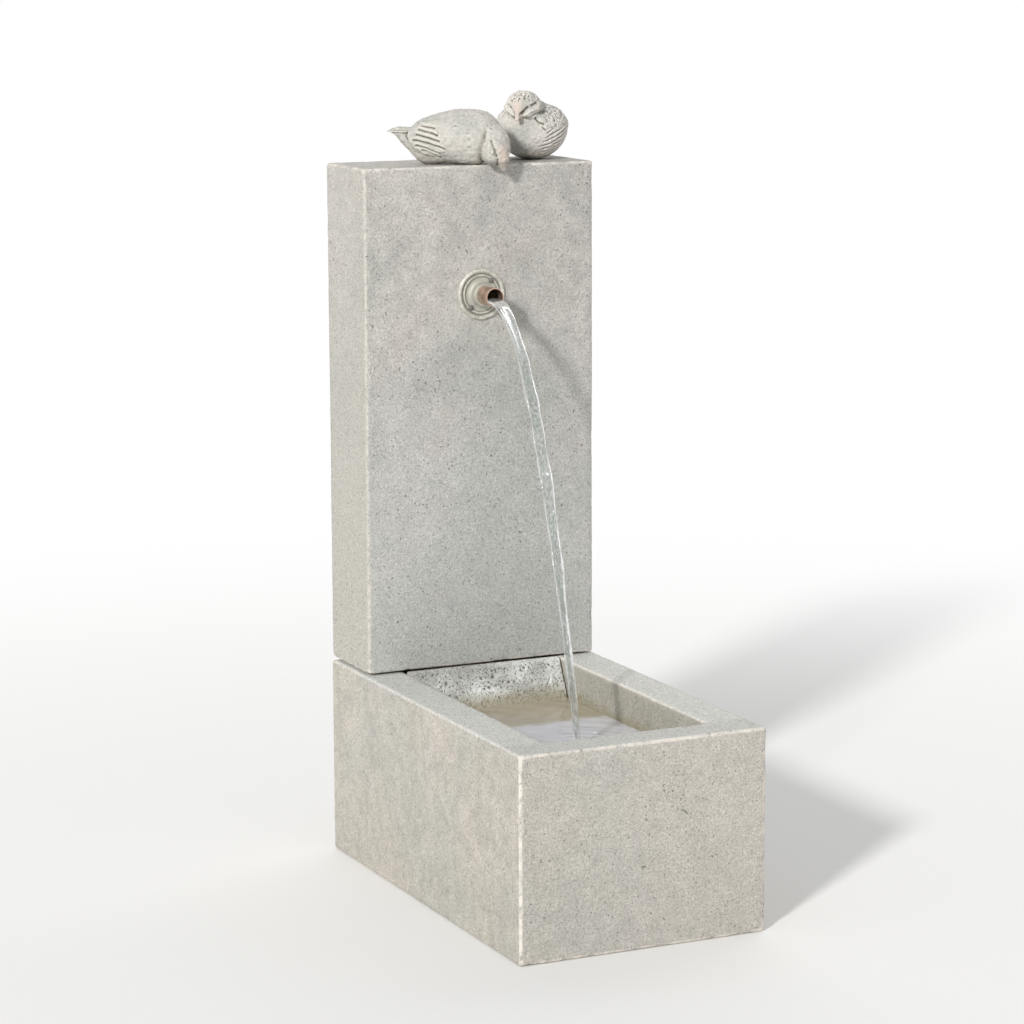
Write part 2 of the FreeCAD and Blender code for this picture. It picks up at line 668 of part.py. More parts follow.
def make_volute():
    """The impeller's chamber, with the inlet eye in front and the outlet on top."""
    shell = rod(VOLUTE_RADIUS, on_pump_axis(VOLUTE_START), X_AXIS, VOLUTE_LENGTH)
    outlet = rod(OUTLET_RADIUS, (OUTLET_X, PUMP_Y, PUMP_Z), Z_AXIS, OUTLET_RISE)
    solid = join([shell, outlet])
    solid = solid.cut(rod(CHAMBER_RADIUS, on_pump_axis(CHAMBER_START), X_AXIS, CHAMBER_LENGTH))
    eye_length = CHAMBER_START - VOLUTE_START
    solid = solid.cut(rod(INLET_RADIUS, on_pump_axis(VOLUTE_START), X_AXIS, eye_length))
    bore_start = INLET_RADIUS + VOLUTE_WALL / 2
    bore = rod(BARB_BORE + 1, (OUTLET_X, PUMP_Y, PUMP_Z + bore_start), Z_AXIS, OUTLET_RISE - bore_start)
    socket = rod(BARB_RADIUS, (OUTLET_X, PUMP_Y, OUTLET_TOP_Z), Z_AXIS.negative(), ADAPTER_THREAD)
    solid = solid.cut(bore).cut(socket)
    spider = [rod(BUSH_RADIUS + BUSH_WALL, on_pump_axis(FRONT_BUSH_X), X_AXIS, BUSH_LENGTH)]
    arm_half = BUSH_WALL
    for i in range(3):
        low = (VOLUTE_START, PUMP_Y - arm_half, PUMP_Z)
        arm = block(low, (VOLUTE_START + BUSH_LENGTH, PUMP_Y + arm_half, PUMP_Z + INLET_RADIUS + 0.5))
        arm.rotate(Vec(*on_pump_axis(0)), X_AXIS, 120 * i)
        spider.append(arm)
    solid = join([solid] + spider)
    return solid.cut(rod(BUSH_RADIUS, on_pump_axis(FRONT_BUSH_X), X_AXIS, BUSH_LENGTH))


def make_impeller():
    """The impeller: a shroud, a hub and curved vanes."""
    shroud_x = PUMP_X - ROTOR_END_PLAY - IMPELLER_SHROUD
    hub_radius = 2.6 * SHAFT_RADIUS
    shroud = rod(IMPELLER_RADIUS, on_pump_axis(shroud_x), X_AXIS, IMPELLER_SHROUD)
    hub = rod(hub_radius, on_pump_axis(shroud_x - VANE_SPAN), X_AXIS, MAGNET_START - shroud_x + VANE_SPAN)
    sweep = 0.62 * IMPELLER_RADIUS
    half = VANE_THICKNESS / 2
    vane = pipe(sweep + half, sweep - half, (0, sweep, 0), X_AXIS, VANE_SPAN)
    disc = rod(IMPELLER_RADIUS - 0.5, (0, 0, 0), X_AXIS, VANE_SPAN)
    keep = block((0, -IMPELLER_RADIUS, 0), (VANE_SPAN, 2 * IMPELLER_RADIUS, 2 * IMPELLER_RADIUS))
    vane = vane.common(disc).common(keep)
    vanes = []
    for i in range(VANE_COUNT):
        blade = vane.copy()
        blade.rotate(Vec(0, 0, 0), X_AXIS, 360 * i / VANE_COUNT)
        blade.translate(Vec(shroud_x - VANE_SPAN, PUMP_Y, PUMP_Z))
        vanes.append(blade)
    solid = join([shroud, hub] + vanes)
    bore = SHAFT_RADIUS + SHAFT_CLEARANCE
    return solid.cut(rod(bore, on_pump_axis(shroud_x - VANE_SPAN), X_AXIS, CHAMBER_LENGTH + VANE_SPAN))


def make_rotor_magnet():
    """The magnet that turns the impeller."""
    bore = SHAFT_RADIUS + SHAFT_CLEARANCE
    return pipe(MAGNET_RADIUS, bore, on_pump_axis(MAGNET_START), X_AXIS, MAGNET_LENGTH)


def make_rotor_shaft():
    """The fixed ceramic shaft that the rotor turns on."""
    return rod(SHAFT_RADIUS, on_pump_axis(SHAFT_START), X_AXIS, SHAFT_END - SHAFT_START)


def make_shaft_bushes():
    """Two rubber bushes that hold the shaft's ends."""
    front = rod(BUSH_RADIUS, on_pump_axis(FRONT_BUSH_X), X_AXIS, BUSH_LENGTH)
    rear = rod(BUSH_RADIUS, on_pump_axis(REAR_BUSH_X), X_AXIS, BUSH_LENGTH)
    shaft = make_rotor_shaft()
    return Part.makeCompound([front.cut(shaft), rear.cut(shaft)])


def make_strainer():
    """The slotted cover that slides off the front of the pump."""
    outer = rounded_bar(
        PUMP_WIDTH, PUMP_HEIGHT, PUMP_CORNER, STRAINER_START, STRAINER_LENGTH, PUMP_Y, PUMP_Z
    )
    wall = STRAINER_WALL
    inner = rounded_bar(
        PUMP_WIDTH - 2 * wall,
        PUMP_HEIGHT - 2 * wall,
        PUMP_CORNER - wall,
        STRAINER_START + wall,
        STRAINER_LENGTH,
        PUMP_Y,
        PUMP_Z,
    )
    shell = outer.cut(inner)
    notch_half = OUTLET_RADIUS + MOVING_GAP
    top = PUMP_Z + PUMP_HEIGHT / 2
    notch = block((OUTLET_X, PUMP_Y - notch_half, PUMP_Z), (PUMP_X, PUMP_Y + notch_half, top))
    shell = shell.cut(notch)
    shell = shell.cut(rod(notch_half, (OUTLET_X, PUMP_Y, PUMP_Z), Z_AXIS, PUMP_HEIGHT))
    slot_half = STRAINER_SLOT / 2
    reach = PUMP_HEIGHT / 2 - PUMP_CORNER
    count = int((PUMP_WIDTH / 2 - PUMP_CORNER) / STRAINER_PITCH)
    cuts = []
    for i in range(-count, count + 1):
        y = PUMP_Y + i * STRAINER_PITCH
        blocked = DIAL_RADIUS + 2 if abs(i * STRAINER_PITCH) < DIAL_RADIUS + 2 else 0
        for side in (-1, 1):
            ends = sorted((side * blocked, side * reach))
            low = (STRAINER_START, y - slot_half, PUMP_Z + ends[0])
            cuts.append(block(low, (STRAINER_START + wall, y + slot_half, PUMP_Z + ends[1])))
    side_count = int((STRAINER_LENGTH - PUMP_CORNER - 4) / STRAINER_PITCH)
    for i in range(side_count):
        x = STRAINER_START + PUMP_CORNER + i * STRAINER_PITCH
        low = (x - slot_half, PUMP_Y - PUMP_WIDTH, PUMP_Z - reach)
        cuts.append(block(low, (x + slot_half, PUMP_Y + PUMP_WIDTH, PUMP_Z + reach / 2)))
    shell = shell.cut(Part.makeCompound(cuts))
    return shell.cut(rod(DIAL_STEM_RADIUS + MOVING_GAP, on_pump_axis(STRAINER_START), X_AXIS, wall))


def make_flow_dial():
    """The dial on the strainer. A lobe on its stem covers more or less of the intake."""
    face_x = STRAINER_START - MOVING_GAP
    disc = rod(DIAL_RADIUS, on_pump_axis(face_x - DIAL_THICKNESS), X_AXIS, DIAL_THICKNESS)
    front = edges_at(disc, lambda p: close(p.x, face_x - DIAL_THICKNESS))
    disc = disc.makeFillet(0.8, front)
    grip_half = 1.5
    grip_low = (face_x - DIAL_THICKNESS - 3, PUMP_Y - grip_half, PUMP_Z - DIAL_RADIUS + 1)
    grip = block(grip_low, (face_x - DIAL_THICKNESS + 1, PUMP_Y + grip_half, PUMP_Z + DIAL_RADIUS - 1))
    inside_x = STRAINER_START + STRAINER_WALL + MOVING_GAP
    stem = rod(DIAL_STEM_RADIUS, on_pump_axis(face_x - 1), X_AXIS, inside_x - face_x + 2)
    lobe = rod(DIAL_RADIUS + 9, on_pump_axis(inside_x), X_AXIS, 1.6)
    keep = block(
        (inside_x - 1, PUMP_Y - 60, PUMP_Z - 60), (inside_x + 3, PUMP_Y + 60, PUMP_Z - DIAL_STEM_RADIUS / 2)
    )
    lobe = lobe.common(keep)
    return join([disc, grip, stem, lobe])


def make_outlet_adapter():
    """The barbed adapter on top of the volute."""
    thread_length = ADAPTER_THREAD
    thread = pipe(
        BARB_RADIUS, BARB_BORE, (OUTLET_X, PUMP_Y, OUTLET_TOP_Z - thread_length), Z_AXIS, thread_length
    )
    collar_start = (OUTLET_X, PUMP_Y, OUTLET_TOP_Z)
    collar = hexagon(2 * OUTLET_RADIUS, ADAPTER_COLLAR, collar_start, Z_AXIS)
    collar = collar.cut(rod(BARB_BORE, collar_start, Z_AXIS, ADAPTER_COLLAR))
    tail = barb((OUTLET_X, PUMP_Y, OUTLET_TOP_Z + ADAPTER_COLLAR), Z_AXIS, BARB_LENGTH)
    return join([thread, collar, tail])


def make_suction_feet():
    """Four rubber suction feet under the motor body."""
    h = FOOT_HEIGHT
    profile = [
        (0, h + 4),
        (FOOT_STEM_RADIUS, h + 4),
        (FOOT_STEM_RADIUS, h),
        (FOOT_STEM_RADIUS + 2, h),
        (FOOT_STEM_RADIUS + 2, h - 3),
        (FOOT_RADIUS, 1),
        (FOOT_RADIUS, 0),
        (FOOT_RADIUS - 1.5, 0),
        (FOOT_STEM_RADIUS, 4),
        (0, 4),
    ]
    feet = [turned(profile, (x, y, BASIN_FLOOR), Z_AXIS) for x, y in foot_places()]
    return Part.makeCompound(feet)


def make_cord_gland():
    """The ribbed strain relief that the pump's cord comes out of."""
    ribs = 5
    pitch = GLAND_LENGTH / ribs
    points = [(CORD_RADIUS, 0)]
    for i in range(ribs):
        crest = GLAND_RADIUS - 0.4 * i
        points += [(crest, i * pitch), (crest, (i + 0.6) * pitch)]
        points += [(crest - 1.6, (i + 0.6) * pitch), (crest - 1.6, (i + 1) * pitch)]
    points.append((CORD_RADIUS, GLAND_LENGTH))
    return turned(points, (HOUSING_END, PUMP_Y, GLAND_Z), X_AXIS)


def make_cord_bung():
    """The split rubber bung that seals the cord hole and is pulled out to drain the basin."""
    taper = cone(BUNG_RADIUS, BUNG_RADIUS - BUNG_TAPER, bung_axis(BUNG_SEAT_Y), Y_AXIS, BUNG_LENGTH)
    start = FLANGE_FRONT_Y
    flange = rod(FLANGE_RADIUS, bung_axis(start), Y_AXIS, BUNG_FLANGE)
    neck = rod(BUNG_RADIUS, bung_axis(start), Y_AXIS, BUNG_SEAT_Y - start)
    solid = join([flange, neck, taper])
    solid = solid.cut(rod(CORD_RADIUS, bung_axis(start), Y_AXIS, BASIN_BACK_Y - start))
    x, _, z = bung_axis(0)
    slit_low = (x - BUNG_SLIT / 2, start, z)
    slit_high = (x + BUNG_SLIT / 2, BASIN_BACK_Y, z + FLANGE_RADIUS + 1)
    return solid.cut(block(slit_low, slit_high))


def bent_path(points):
    """Straight runs joined by tangent arcs, each as large as its two runs allow."""
    start = Vec(*points[0])
    edges = []
    for before, corner, after in zip(points, points[1:], points[2:]):
        before, corner, after = Vec(*before), Vec(*corner), Vec(*after)
        arriving = corner.sub(before)
        leaving = after.sub(corner)
        turn = arriving.getAngle(leaving)
        setback = 0.45 * min(arriving.Length, leaving.Length)
        arriving.normalize()
        leaving.normalize()
        first = corner.sub(arriving * setback)
        last = corner.add(leaving * setback)
        radius = setback / math.tan(turn / 2)
        middle_line = leaving.sub(arriving)
        middle_line.normalize()
        centre = first.add(last).multiply(0.5)
        reach = math.sqrt(radius**2 + setback**2)
        middle = corner.add(middle_line * (reach - radius))
        print("tube bend radius", round(radius), "at height", round(corner.z), round(centre.y))
        edges.append(Part.makeLine(start, first))
        edges.append(Part.Arc(first, middle, last).toShape())
        start = last
    edges.append(Part.makeLine(start, Vec(*points[-1])))
    return Part.Wire(edges)


def make_supply_tube():
    """The clear tube from the pump to the elbow, pushed over both barbs."""
    top = ELBOW_BARB_Z - 2
    rim_y = REAR_FACE_Y - TUBE_RIM_GAP
    points = [
        (OUTLET_X, PUMP_Y, TUBE_START_Z),
        (OUTLET_X, PUMP_Y, TUBE_START_Z + 1.6 * BARB_LENGTH),
        (OUTLET_X / 2, (PUMP_Y + rim_y) / 2, TUBE_START_Z + 3.2 * BARB_LENGTH),
        (0, rim_y, BASIN_HEIGHT + 20),
        (0, rim_y + 1, BASIN_HEIGHT + 210),
        (0, ELBOW_Y - 2, top - 170),
        (0, ELBOW_Y, top - 2.4 * BARB_LENGTH),
        (0, ELBOW_Y, top),
    ]
    path = bent_path(points)
    solids = []
    for radius in (TUBE_RADIUS, TUBE_BORE):
        ring = Part.Wire(Part.makeCircle(radius, Vec(*points[0]), Z_AXIS))
        solids.append(path.makePipeShell([ring], True, False))
    tube = solids[0].cut(solids[1])
    expected = math.pi * (TUBE_RADIUS**2 - TUBE_BORE**2) * path.Length
    print("tube volume", round(tube.Volume), "section by length", round(expected))
    return tube


def make_hose_clamps():
    """Two worm-drive clamps, one at each end of the tube."""
    clamps = []
    places = [(OUTLET_X, PUMP_Y, TUBE_START_Z + 8), (0, ELBOW_Y, ELBOW_BARB_Z - 2 - 8 - CLAMP_WIDTH)]
    inner = TUBE_RADIUS
    outer = inner + CLAMP_BAND
    for x, y, z in places:
        band = rod(outer, (x, y, z), Z_AXIS, CLAMP_WIDTH)
        case_low = (x + outer - 1.5, y - 7, z - 1)
        case = block(case_low, (x + outer + 5, y + 7, z + CLAMP_WIDTH + 1))
        along = edges_at(case, lambda p, x=x: p.x > x + outer)
        case = case.makeFillet(1.5, along)
        screw = rod(3.2, (x + outer + 2, y - 11, z + CLAMP_WIDTH / 2), Y_AXIS, 20)
        clamp = join([band, case, screw])
        clamps.append(clamp.cut(rod(inner, (x, y, z - 2), Z_AXIS, CLAMP_WIDTH + 4)))
    return Part.makeCompound(clamps)


def bird_place(seat, heading):
    """Where a bird's own frame lies: +X towards its beak, +Z up, origin on its seat."""
    turn = FreeCAD.Rotation(Z_AXIS, heading)
    return FreeCAD.Placement(Vec(seat[0], seat[1], COLUMN_TOP_Z), turn)


def ellipsoid(centre, radii, pitch=0.0, turn=0.0):
    """An ellipsoid in a bird's frame. A pitch tips its front end down, a turn swings it left."""
    scale = FreeCAD.Matrix()
    scale.scale(*radii)
    solid = Part.makeSphere(1.0).transformGeometry(scale)
    solid.rotate(Vec(0, 0, 0), Y_AXIS, pitch)
    solid.rotate(Vec(0, 0, 0), Z_AXIS, turn)
    solid.translate(Vec(*centre))
    return solid


def oval(x, z, half_width, half_height):
    """An oval section across a bird's length."""
    if half_width >= half_height:
        curve = Part.Ellipse(Vec(0, 0, 0), half_width, half_height)
    else:
        curve = Part.Ellipse(Vec(0, half_height, 0), Vec(half_width, 0, 0), Vec(0, 0, 0))
    wire = Part.Wire(curve.toShape())
    wire.rotate(Vec(0, 0, 0), Vec(1, 1, 1), 120)
    wire.translate(Vec(x, 0, z))
    return wire


def seated(shape, length, seat, heading):
    """Gives a bird its length, sets it on the column and trims what would sink into it."""
    placed = shape.copy()
    placed.scale(length / 100)
    placed.Placement = bird_place(seat, heading).multiply(placed.Placement)
    half = COLUMN_WIDTH / 2
    low = (-half, COLUMN_FACE_Y - REST_GAP, COLUMN_BASE_Z)
    trimmed = placed.cut(block(low, (half, COLUMN_BACK_Y, COLUMN_TOP_Z)))
    trimmed = trimmed.cut(dowel_rod(seat))
    solids = sorted(trimmed.Solids, key=lambda solid: solid.Volume)
    return solids[-1]


def dowel_rod(seat):
    """The stainless pin under one bird, half in the column and half in the bird."""
    return rod(DOWEL_RADIUS, (seat[0], seat[1], COLUMN_TOP_Z - DOWEL_LENGTH / 2), Z_AXIS, DOWEL_LENGTH)


def dowel_rods():
    """The pins under both birds."""
    return [dowel_rod(LEFT_BIRD_SEAT), dowel_rod(RIGHT_BIRD_SEAT)]


# Both birds are shaped in hundredths of their own length, measured from their seats
def make_left_bird():
    """The bird that lies along the column's top and hangs its head over the front edge."""
    sections = [
        oval(-37.2, 19.8, 4.4, 4.9),
        oval(-33, 19.9, 10.4, 11.5),
        oval(-20, 20.8, 16.7, 18.6),
        oval(-8, 22.2, 19.4, 21.4),
        oval(4, 22.8, 21.4, 23.4),
        oval(16, 22.6, 21.1, 23.3),
        oval(26, 22.7, 19, 21.3),
        oval(34, 23.2, 14, 15.9),
        oval(39, 23.5, 6.9, 7.8),
    ]
    body = Part.makeLoft(sections, True, False)
    wings = [ellipsoid((-11.5, side * 13.6, 22.3), (25.5, 8.6, 14.2), -3) for side in (-1, 1)]
    feathers = [oval(-54.6, 27.2, 2.6, 1.2), oval(-46, 27.2, 6.9, 2.8), oval(-28, 26, 6.9, 3.4)]
    tail = Part.makeLoft(feathers, True, False)
    under_tail = ellipsoid((-36.6, 0, 19), (15, 8.5, 5.5), 43)
    head = ellipsoid((33.3, -6.2, 14.6), (13.7, 14.2, 19.2), 0, -10)
    brow = ellipsoid((39.6, -8, 7.6), (7.2, 7, 9.5), 0, -12)
    beak = cone(4.4, 1.2, (40.2, -9, 2.6), Vec(0.24, -0.18, -1), 7)
    bird = join([body, tail, under_tail, head, brow, beak] + wings)
    return seated(bird, LEFT_BIRD_LENGTH, LEFT_BIRD_SEAT, LEFT_BIRD_HEADING)


def make_right_bird():
    """The bird that sits puffed up and bends its beak towards the other."""
    body = ellipsoid((-2, -2, 29.3), (36, 35.5, 29.8))
    breast = ellipsoid((9, -1.5, 35.5), (28, 27.5, 25.5))
    nape = ellipsoid((10, -1.5, 47), (20, 21, 15.5))
    left_wing = ellipsoid((-6, 14.5, 33.5), (27, 18.8, 20.5))
    right_wing = ellipsoid((3, -18.5, 39), (26, 19, 21.5))
    feathers = [oval(-57, 17.8, 5, 1.8), oval(-45, 19.5, 11.2, 4.2), oval(-26, 22, 12, 5)]
    tail = Part.makeLoft(feathers, True, False)
    head = ellipsoid((26.5, -0.8, 57.2), (17.2, 19.8, 14.7), 10)
    cheeks = [ellipsoid((31, side * 10.6, 49), (10.5, 5, 5), 11, side * -32) for side in (-1, 1)]
    face = ellipsoid((37.5, 0, 53.5), (8, 7.6, 10), 30)
    beak = cone(4.2, 1.2, (42.4, 0, 50), Vec(0.51, 0, -1), 8.8)
    bird = join([body, breast, nape, left_wing, right_wing, tail, head, face, beak] + cheeks)
    return seated(bird, RIGHT_BIRD_LENGTH, RIGHT_BIRD_SEAT, RIGHT_BIRD_HEADING)


def make_bird_dowels():
    """Both stainless pins."""
    return Part.makeCompound(dowel_rods())


NODES = {
    "basin": make_basin,
    "column": make_column,
    "setting_pads": make_setting_pads,
    "pump_cover_slab": make_pump_cover,
    "left_bird": make_left_bird,
    "right_bird": make_right_bird,
    "bird_dowels": make_bird_dowels,
    "rosette": make_rosette,
    "rosette_screws": make_rosette_screws,
    "wall_plugs": make_wall_plugs,
    "spout_tube": make_spout_tube,
    "spout_sleeve": make_spout_sleeve,
    "spout_washer": make_spout_washer,
    "spout_nut": make_spout_nut,
    "spout_elbow": make_spout_elbow,
    "supply_tube": make_supply_tube,
    "hose_clamps": make_hose_clamps,
    "pump_housing": make_pump_housing,
    "pump_volute": make_volute,
    "volute_seal": make_volute_seal,
    "impeller": make_impeller,
    "rotor_magnet": make_rotor_magnet,
    "rotor_shaft": make_rotor_shaft,
    "shaft_bushes": make_shaft_bushes,
    "strainer_cover": make_strainer,
    "flow_dial": make_flow_dial,
    "outlet_adapter": make_outlet_adapter,
    "suction_feet": make_suction_feet,
    "cord_gland": make_cord_gland,
    "cord_bung": make_cord_bung,
}

for name, make in NODES.items():
    shape = make()
    if not shape.isValid() or shape.Volume <= 0:
        raise RuntimeError(name + " is not a sound solid")
    shape.exportStep("parts/" + name + ".step")
    print(name, len(shape.Solids), "solid(s)", round(shape.Volume), "mm3")
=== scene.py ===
import math

import bmesh
import bpy
import numpy as np
from bpy.props import FloatProperty, FloatVectorProperty, PointerProperty
from mathutils import Matrix, Vector


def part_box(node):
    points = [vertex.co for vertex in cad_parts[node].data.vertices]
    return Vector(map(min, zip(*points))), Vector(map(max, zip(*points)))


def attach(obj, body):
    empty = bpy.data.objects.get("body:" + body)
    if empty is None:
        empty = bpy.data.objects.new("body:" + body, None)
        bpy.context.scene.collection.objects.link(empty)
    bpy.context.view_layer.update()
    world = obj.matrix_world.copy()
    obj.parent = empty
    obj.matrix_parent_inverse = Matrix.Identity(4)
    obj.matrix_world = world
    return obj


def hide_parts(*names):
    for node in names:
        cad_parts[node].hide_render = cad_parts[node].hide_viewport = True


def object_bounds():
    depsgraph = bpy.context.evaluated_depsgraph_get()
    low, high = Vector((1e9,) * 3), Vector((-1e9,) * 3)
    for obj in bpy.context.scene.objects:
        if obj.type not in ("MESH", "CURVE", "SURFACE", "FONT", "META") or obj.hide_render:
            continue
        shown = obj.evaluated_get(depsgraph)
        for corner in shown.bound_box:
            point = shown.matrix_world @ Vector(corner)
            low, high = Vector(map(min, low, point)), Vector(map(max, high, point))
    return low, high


bl_info = {
    "name": "Garden Wall Fountain Finish",
    "version": (1, 0, 0),
    "blender": (4, 5, 0),
    "location": "View3D > Sidebar > Fountain",
    "description": "Dresses a garden wall fountain in weathered stone, metal, rubber and water",
    "category": "Object",
}

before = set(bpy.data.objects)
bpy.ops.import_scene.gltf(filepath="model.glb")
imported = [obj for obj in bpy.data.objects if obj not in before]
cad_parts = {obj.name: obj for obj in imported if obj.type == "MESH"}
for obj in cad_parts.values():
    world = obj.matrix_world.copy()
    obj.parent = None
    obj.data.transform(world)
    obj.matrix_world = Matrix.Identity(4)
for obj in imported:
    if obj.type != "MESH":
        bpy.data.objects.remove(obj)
FRAME_LOW, FRAME_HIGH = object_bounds()

# Places read from the frame
BASIN_LOW, BASIN_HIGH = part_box("basin")
COLUMN_LOW, COLUMN_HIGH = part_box("column")
SLAB_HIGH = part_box("pump_cover_slab")[1]
TUBE_LOW, TUBE_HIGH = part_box("spout_tube")
SPOUT_Z = (TUBE_LOW.z + TUBE_HIGH.z) / 2


# Settings


def tone(name, note, default):
    """A colour that the user may change."""
    return FloatVectorProperty(
        name=name, description=note, subtype="COLOR", size=3, min=0, max=1, default=default
    )


def length(name, note, default):
    """A size in metres that the user may change."""
    return FloatProperty(name=name, description=note, default=default, unit="LENGTH", precision=4)


def angle(name, note, default):
    """An angle in radians that the user may change."""
    return FloatProperty(name=name, description=note, default=default, subtype="ANGLE")


def number(name, note, default, unit="NONE"):
    """Another number that the user may change."""
    return FloatProperty(name=name, description=note, default=default, unit=unit)


class StoneSettings(bpy.types.PropertyGroup):
    """Tones, grain and wear of the cast stone."""

    warm: tone("Warm tone", "Main colour of the dry stone", (0.575, 0.55, 0.51))
    cool: tone("Cool tone", "Grey-green clouds", (0.475, 0.475, 0.435))
    foot: tone("Foot tone", "Grey of the column's lower half", (0.50, 0.51, 0.485))
    rose: tone("Rose tone", "Pinkish clouds", (0.59, 0.535, 0.49))
    side: tone("Side tone", "Buff tone of the basin", (0.545, 0.51, 0.445))
    dull: tone("Dull tone", "Duller clouds on the basin", (0.505, 0.49, 0.44))
    flank: tone("Flank tone", "The column's left side face", (0.475, 0.45, 0.40))
    rim: tone("Rim tone", "Rain-washed top of the basin", (0.68, 0.69, 0.655))
    # The pit tone is painted shade inside the pits
    pit: tone("Pit tone", "Painted shade inside the small pits", (0.16, 0.155, 0.13))
    # The arris tone is wear with a painted highlight on it
    arris: tone("Arris tone", "Worn edges with painted highlight", (0.80, 0.74, 0.66))
    algae: tone("Algae tone", "Growth at the waterline", (0.33, 0.29, 0.18))
    crust: tone("Crust tone", "Open face of the pump cover", (0.84, 0.85, 0.81))
    cloud: length("Cloud size", "Breadth of the large clouds", 0.26)
    grain: length("Grain size", "Breadth of a sand grain", 0.0017)
    column_net: length("Column net", "Face size of the column", 0.0034)
    basin_net: length("Basin net", "Face size of the basin", 0.0041)
    slab_net: length("Slab net", "Face size of the pump cover", 0.0017)
    chip: length("Chip depth", "Deepest chip along an arris", 0.0022)
    sway: length("Sway", "Depth of the broad hollows left by the mould", 0.0007)
    slab_pit: length("Slab pit", "Radius of the largest pit in the pump cover", 0.0026)


class BirdSettings(bpy.types.PropertyGroup):
    """Tones and casting of the birds."""

    cream: tone("Cream", "Raised stone of the sitting bird", (0.68, 0.65, 0.60))
    # The lying bird's buff is the cream painted darker, a painted shade that evens out the stronger
    # lamplight on that bird
    buff: tone("Buff", "Raised stone of the lying bird", (0.585, 0.56, 0.51))
    # Painted shade for the hollows and, with grime, for the seat
    grime_and_shade: tone("Grime and shade", "Painted shade in the hollows, grime and painted shade at the seat", (0.15, 0.145, 0.12))
    beak: tone("Beak", "Beak and brow", (0.68, 0.55, 0.47))
    net: length("Net", "Face size of the birds", 0.0009)
    left_length: length("Left length", "Length of the lying bird", 0.186)
    left_heading: angle("Left heading", "Where the lying bird points", math.radians(-30))
    right_length: length("Right length", "Length of the sitting bird", 0.150)
    right_heading: angle("Right heading", "Where the sitting bird points", math.radians(224))


class MetalSettings(bpy.types.PropertyGroup):
    """Tones of the metals."""

    patina: tone("Patina", "Aged bronze of the rosette", (0.43, 0.42, 0.355))
    lime: tone("Lime", "Lime left on the rosette by spray", (0.72, 0.69, 0.63))
    dirt_and_shade: tone("Dirt and shade", "Dirt and painted shade in the rosette's grooves", (0.13, 0.125, 0.105))
    copper: tone("Copper", "Clean copper", (0.66, 0.46, 0.36))
    brown: tone("Brown", "Brown skin of old copper", (0.36, 0.26, 0.19))
    verdigris: tone("Verdigris", "Green on old copper", (0.30, 0.37, 0.28))
    steel: tone("Steel", "Stainless steel", (0.60, 0.60, 0.59))
    dull_steel: tone("Dull steel", "Weathered screw heads", (0.20, 0.195, 0.18))
    brass: tone("Brass", "Turned brass", (0.66, 0.50, 0.24))


class PumpSettings(bpy.types.PropertyGroup):
    """Tones of the pump's plastics and rubbers."""

    black: tone("Black", "Moulded pump casing", (0.035, 0.036, 0.04))
    white: tone("White", "Impeller", (0.72, 0.72, 0.68))
    grey: tone("Grey", "Flow dial", (0.29, 0.30, 0.32))
    nylon: tone("Nylon", "Wall plugs and bushes", (0.55, 0.55, 0.51))
    rubber: tone("Rubber", "Seals, feet and pads", (0.055, 0.054, 0.052))
    vinyl: tone("Vinyl", "Supply tube", (0.72, 0.76, 0.73))
    bloom: tone("Bloom", "Cloudy film on the supply tube", (0.62, 0.66, 0.55))
    ferrite: tone("Ferrite", "Rotor magnet", (0.09, 0.09, 0.095))
    ceramic: tone("Ceramic", "Rotor shaft", (0.84, 0.83, 0.79))
    silt: tone("Silt", "Silt that settles on the pump", (0.32, 0.30, 0.24))


class WaterSettings(bpy.types.PropertyGroup):
    """The jet and the pool."""

    level: length("Level", "Height of the pool's surface", 0.2475)
    depth: length("Depth", "Height of the pool's underside", 0.052)
    tuck: length("Tuck", "How far the pool's edge runs into the stone", 0.0012)
    drift: number("Drift", "Sideways speed of the jet", 0.002, "VELOCITY")
    speed: number("Speed", "Forward speed of the jet", 0.79, "VELOCITY")
    sink: length("Sink", "How far the jet starts below the tube's middle", 0.0064)
    mouth: length("Mouth width", "Breadth of the jet below the tube", 0.0205)
    foot: length("Foot width", "Breadth of the jet above the pool", 0.0100)
    ripple: length("Ripple", "Height of the first ripple", 0.0011)
    jet: tone("Jet", "Colour of the jet", (0.58, 0.62, 0.59))
    # The pool tone is a painted reflection of the open sky
    pool: tone("Pool", "Colour of the pool", (0.88, 0.88, 0.945))
    silt: tone("Silt", "Water over the silt at the slab's foot", (0.54, 0.48, 0.37))


class StageSettings(bpy.types.PropertyGroup):
    """Camera, floor and lamps."""

    lens: FloatProperty(
        name="Lens", description="Focal length", default=118.25, subtype="DISTANCE_CAMERA"
    )
    place: FloatVectorProperty(
        name="Place",
        description="Where the camera stands",
        default=(-2.1352, -4.4565, 1.4579),
        subtype="TRANSLATION",
        unit="LENGTH",
    )
    yaw: angle("Yaw", "Turn from +Y to +X", 0.437)
    pitch: angle("Pitch", "Tip downwards", 0.170)
    roll: angle("Roll", "Tip sideways", -0.004)
    shift_x: number("Shift X", "Sideways shift of the frame", 0.0066)
    shift_y: number("Shift Y", "Upward shift of the frame", -0.0198)
    floor: tone("Floor", "Colour of the floor", (0.90, 0.89, 0.87))
    floor_reach: length("Floor reach", "Radius of the floor", 180.0)
    key: number("Key", "Strength of the main lamp", 2.55)
    fill: number("Fill", "Strength of the lamp behind", 0.85)
    sky: number("Sky", "Strength of the even light", 0.50)


class FountainSettings(bpy.types.PropertyGroup):
    """Everything that a user would change."""

    stone: PointerProperty(type=StoneSettings)
    birds: PointerProperty(type=BirdSettings)
    metal: PointerProperty(type=MetalSettings)
    pump: PointerProperty(type=PumpSettings)
    water: PointerProperty(type=WaterSettings)
    stage: PointerProperty(type=StageSettings)


# Meshes

GRID_SHARE = 0.98  # the most of a remesh grid that a piece may fill
SAME_POINT = 1e-6  # points closer than this are one


